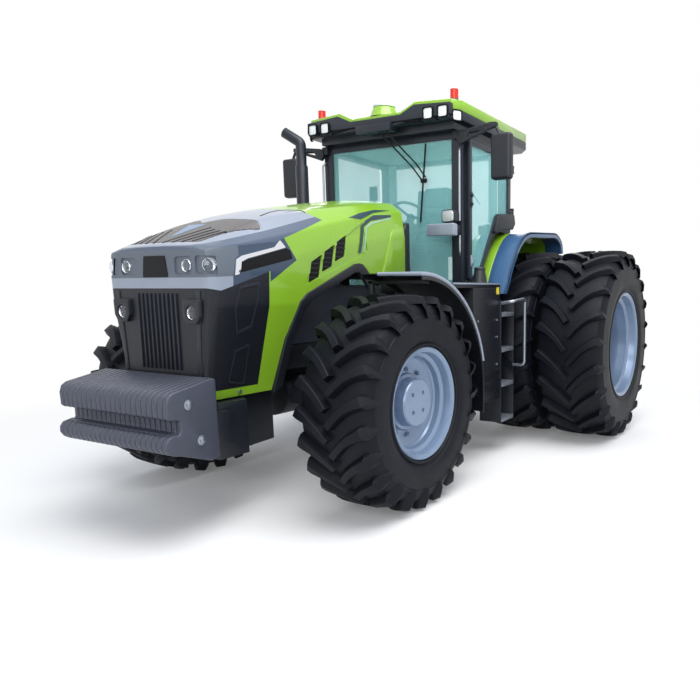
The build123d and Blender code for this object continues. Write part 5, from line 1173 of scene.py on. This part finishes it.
def door_fittings():
    """The door's latch and its paddle, the knobs on their plate and the gas strut."""
    latch = door_plate(1.352, 1.392, 1.820, 1.930, 0.008, 0.864, 0.876, 0.003)
    paddle = door_plate(1.360, 1.384, 1.840, 1.900, 0.008, 0.874, 0.884, 0.003)
    settle(joined([latch, paddle]), "door_latch", "door", ZINC)
    knobs = [door_plate(1.352, 1.396, 2.370, 2.520, 0.012, 0.8645, 0.871, 0.002)]
    for z in (2.405, 2.485):
        knobs.append(rod((at(1.374), 0.870, z), (at(1.374), 0.886, z), 0.016, 24))
    settle(joined(knobs), "door_knobs", "door", DARK_PLASTIC)
    body = rod((at(1.342), 0.826, 2.560), (at(1.250), 0.823, 2.510), 0.009, 16)
    piston = rod((at(1.250), 0.823, 2.510), (at(1.110), 0.818, 2.436), 0.005, 12)
    settle(joined([body, piston]), "door_strut", "door", ZINC)


# ---------------------------------------------------------------- cab inside
def pad(low, high, puff):
    """A crowned cushion between two corners: a block, subdivided, swollen and rounded."""
    piece = box(low[0], high[0], low[1], high[1], low[2], high[2])
    edit(piece)
    bpy.ops.mesh.subdivide(number_cuts=5)
    bpy.ops.object.mode_set(mode="OBJECT")
    soften(piece, 0.022, 3, 60)
    middle = Vector(((at(low[0]) + at(high[0])) / 2, (low[1] + high[1]) / 2, (low[2] + high[2]) / 2))
    half = Vector((high[0] - low[0], high[1] - low[1], high[2] - low[2])) / 2
    thin = min(range(3), key=lambda i: half[i])
    for vertex in piece.data.vertices:
        away = vertex.co - middle
        share = 1.0
        for i in range(3):
            if i != thin:
                share *= 1 - (away[i] / half[i]) ** 2 if abs(away[i]) < half[i] else 0.0
        vertex.co[thin] += puff * max(share, 0.0) * (1 if away[thin] > 0 else -0.2)
    apply_modifier(piece, "SUBSURF", levels=1, render_levels=1)
    return smooth(piece, 60)


# the seat's cushion panels: both edges ahead of the seat's station, both sides, top and crown
SEAT_STATION = 0.560
SEAT_CUSHION = [(0.10, 0.28, -0.150, 0.150, 2.080, 0.012), (0.285, 0.49, -0.150, 0.150, 2.080, 0.012),
                (0.08, 0.48, -0.248, -0.152, 2.096, 0.006), (0.08, 0.48, 0.152, 0.248, 2.096, 0.006)]
# the backrest's panels before it leans: rear and front face, both sides, foot, top and crown
SEAT_BACK = [(-0.045, 0.035, -0.150, 0.150, 0.00, 0.20, 0.010), (-0.045, 0.035, -0.150, 0.150, 0.205, 0.40, 0.010),
             (-0.045, 0.035, -0.150, 0.150, 0.405, 0.62, 0.010), (-0.050, 0.045, -0.236, -0.152, 0.00, 0.60, 0.005),
             (-0.050, 0.045, 0.152, 0.236, 0.00, 0.60, 0.005)]


def seat():
    """Cushion and backrest in sewn panels, with bolsters, on a boxed pedestal with its armrest."""
    x = SEAT_STATION
    cushion = [pad((x + x0, y0, 1.985), (x + x1, y1, top), puff) for x0, x1, y0, y1, top, puff in SEAT_CUSHION]
    back = [pad((x0, y0, z0), (x1, y1, z1), puff) for x0, x1, y0, y1, z0, z1, puff in SEAT_BACK]
    lean = Matrix.Translation((at(x + 0.085), 0, 2.100)) @ Matrix.Rotation(math.radians(-8), 4, "Y")
    for piece in back:
        piece.data.transform(lean @ Matrix.Translation((-at(0.0), 0, 0)))
    cloth = joined(cushion + back)
    settle(cloth, "seat_dressed", "chassis", SEAT_CLOTH, ("seat",))
    base = [box(x + 0.06, x + 0.40, -0.170, 0.170, 1.5605, 1.975),
            box(x + 0.06, x + 0.56, -0.400, -0.270, 2.120, 2.235),
            box(x + 0.12, x + 0.26, -0.400, -0.255, 1.990, 2.125),
            box(x + 0.03, x + 0.46, -0.235, 0.235, 1.960, 1.990)]
    settle(soften(joined(base), 0.018, 3), "seat_base", "chassis", CAB_TRIM)
    tablet = box(1.130, 1.150, -0.500, -0.400, 2.545, 2.690)
    stalk = rod((at(1.120), -0.335, 2.200), (at(1.140), -0.440, 2.560), 0.010, 12)
    settle(joined([soften(tablet, 0.006, 2), stalk]), "seat_terminal", "chassis", BLANK_DARK)


def cab_lining():
    """The pale headlining, the rear pillars' lining and the dark cowl ahead of the screen."""
    lining = [box(0.490, 1.380, -0.700, 0.700, 3.030, 3.056), box(0.487, 0.500, 0.600, 0.705, 2.320, 3.020),
              box(0.487, 0.500, -0.705, -0.600, 2.320, 3.020), box(1.385, 1.398, -0.150, 0.150, 1.600, 2.200)]
    settle(soften(joined(lining), 0.006, 2), "cab_lining", "chassis", CAB_LINING)
    cowl = [(1.820, 1.700), (1.820, 2.215), (1.890, 2.190), (1.928, 2.120), (1.928, 1.700)]
    neck = [(1.474, 1.700), (1.474, 2.100), (1.830, 2.100), (1.830, 1.700)]
    piece = joined([side_plate(cowl, -0.470, 0.470), side_plate(neck, -0.200, 0.200)])
    settle(soften(piece, 0.020, 3), "cowl", "chassis", DARK_PLASTIC)


kept_pieces()
front_fenders()
rear_fenders()
side_fittings()
tail_lamps()
roof_fittings()
wipers()
pillar_fittings()
door_fittings()
seat()
cab_lining()


# ---------------------------------------------------------------- studio
def eye_rays(tree):
    """One for rays that see the backdrop, straight, in a gloss or through glass."""
    path = add(tree, "LightPath")
    both_ways = add(tree, "Math", {0: path.outputs["Is Camera Ray"], 1: path.outputs["Is Transmission Ray"]},
                    operation="MAXIMUM")
    return add(tree, "Math", {0: both_ways.outputs[0], 1: path.outputs["Is Glossy Ray"]},
               operation="MAXIMUM").outputs[0]


# area lamps: name, place, size and power in watts
STUDIO_LAMPS = [("sky_lamp", (2.0, 3.5, 9.0), 7.0, 900), ("front_lamp", (9.0, 5.0, 4.5), 5.0, 330),
                ("rear_lamp", (-8.0, -4.0, 6.0), 6.0, 260)]
CAMERA_PLACE, CAMERA_AIM = (5.200, 3.834, 1.611), (-0.8764, -0.4578, -0.1497)


def studio():
    """A pale floor, soft lamps and the camera."""
    bpy.ops.object.select_all(action="DESELECT")
    bpy.ops.mesh.primitive_plane_add(size=60, location=(0, 0, 0))
    floor = bpy.context.object
    floor.name = "studio_floor"
    paper = bpy.data.materials.new("studio_paper")
    paper.use_nodes = True
    tree = paper.node_tree
    seen = eye_rays(tree)
    glow = add(tree, "Emission", {"Color": linear("ffffff"), "Strength": 1.0})
    shadow_side = tree.nodes["Principled BSDF"]
    shadow_side.inputs["Base Color"].default_value = linear("f2f2f2")
    shadow_side.inputs["Roughness"].default_value = 0.9
    away = add(tree, "VectorMath", {0: add(tree, "TexCoord").outputs["Object"]}, operation="LENGTH")
    fade = add(tree, "MapRange", {"Value": away.outputs["Value"], "From Min": 2.6, "From Max": 6.0, "To Min": 0.12,
                                  "To Max": 1.0})
    factor = add(tree, "Math", {0: seen, 1: fade.outputs["Result"]}, operation="MULTIPLY")
    mix = add(tree, "MixShader", {0: factor.outputs[0], 1: shadow_side.outputs[0], 2: glow.outputs[0]})
    tree.links.new(mix.outputs[0], tree.nodes["Material Output"].inputs["Surface"])
    floor.data.materials.append(paper)

    world = bpy.data.worlds.new("studio_world")
    bpy.context.scene.world = world
    world.use_nodes = True
    tree = world.node_tree
    seen = eye_rays(tree)
    soft = tree.nodes["Background"]
    soft.inputs["Color"].default_value = linear("dfe8f5")
    soft.inputs["Strength"].default_value = 0.55
    white = add(tree, "Background", {"Color": linear("ffffff"), "Strength": 1.0})
    mix = add(tree, "MixShader", {0: seen, 1: soft.outputs[0], 2: white.outputs[0]})
    tree.links.new(mix.outputs[0], tree.nodes["World Output"].inputs["Surface"])

    for name, place, size, power in STUDIO_LAMPS:
        bpy.ops.object.light_add(type="AREA", location=place)
        lamp = bpy.context.object
        lamp.name = name
        lamp.data.size = size
        lamp.data.energy = power
        lamp.rotation_euler = (Vector((0, 0, 1.2)) - Vector(place)).to_track_quat("-Z", "Y").to_euler()

    bpy.ops.object.camera_add(location=CAMERA_PLACE)
    camera = bpy.context.object
    camera.rotation_euler = Vector(CAMERA_AIM).to_track_quat("-Z", "Y").to_euler()
    camera.data.sensor_width = 36
    camera.data.lens = 32.64
    camera.data.shift_x = -0.1897
    camera.data.shift_y = 0.0499
    bpy.context.scene.camera = camera
    bpy.context.scene.view_settings.view_transform = "Standard"


studio()
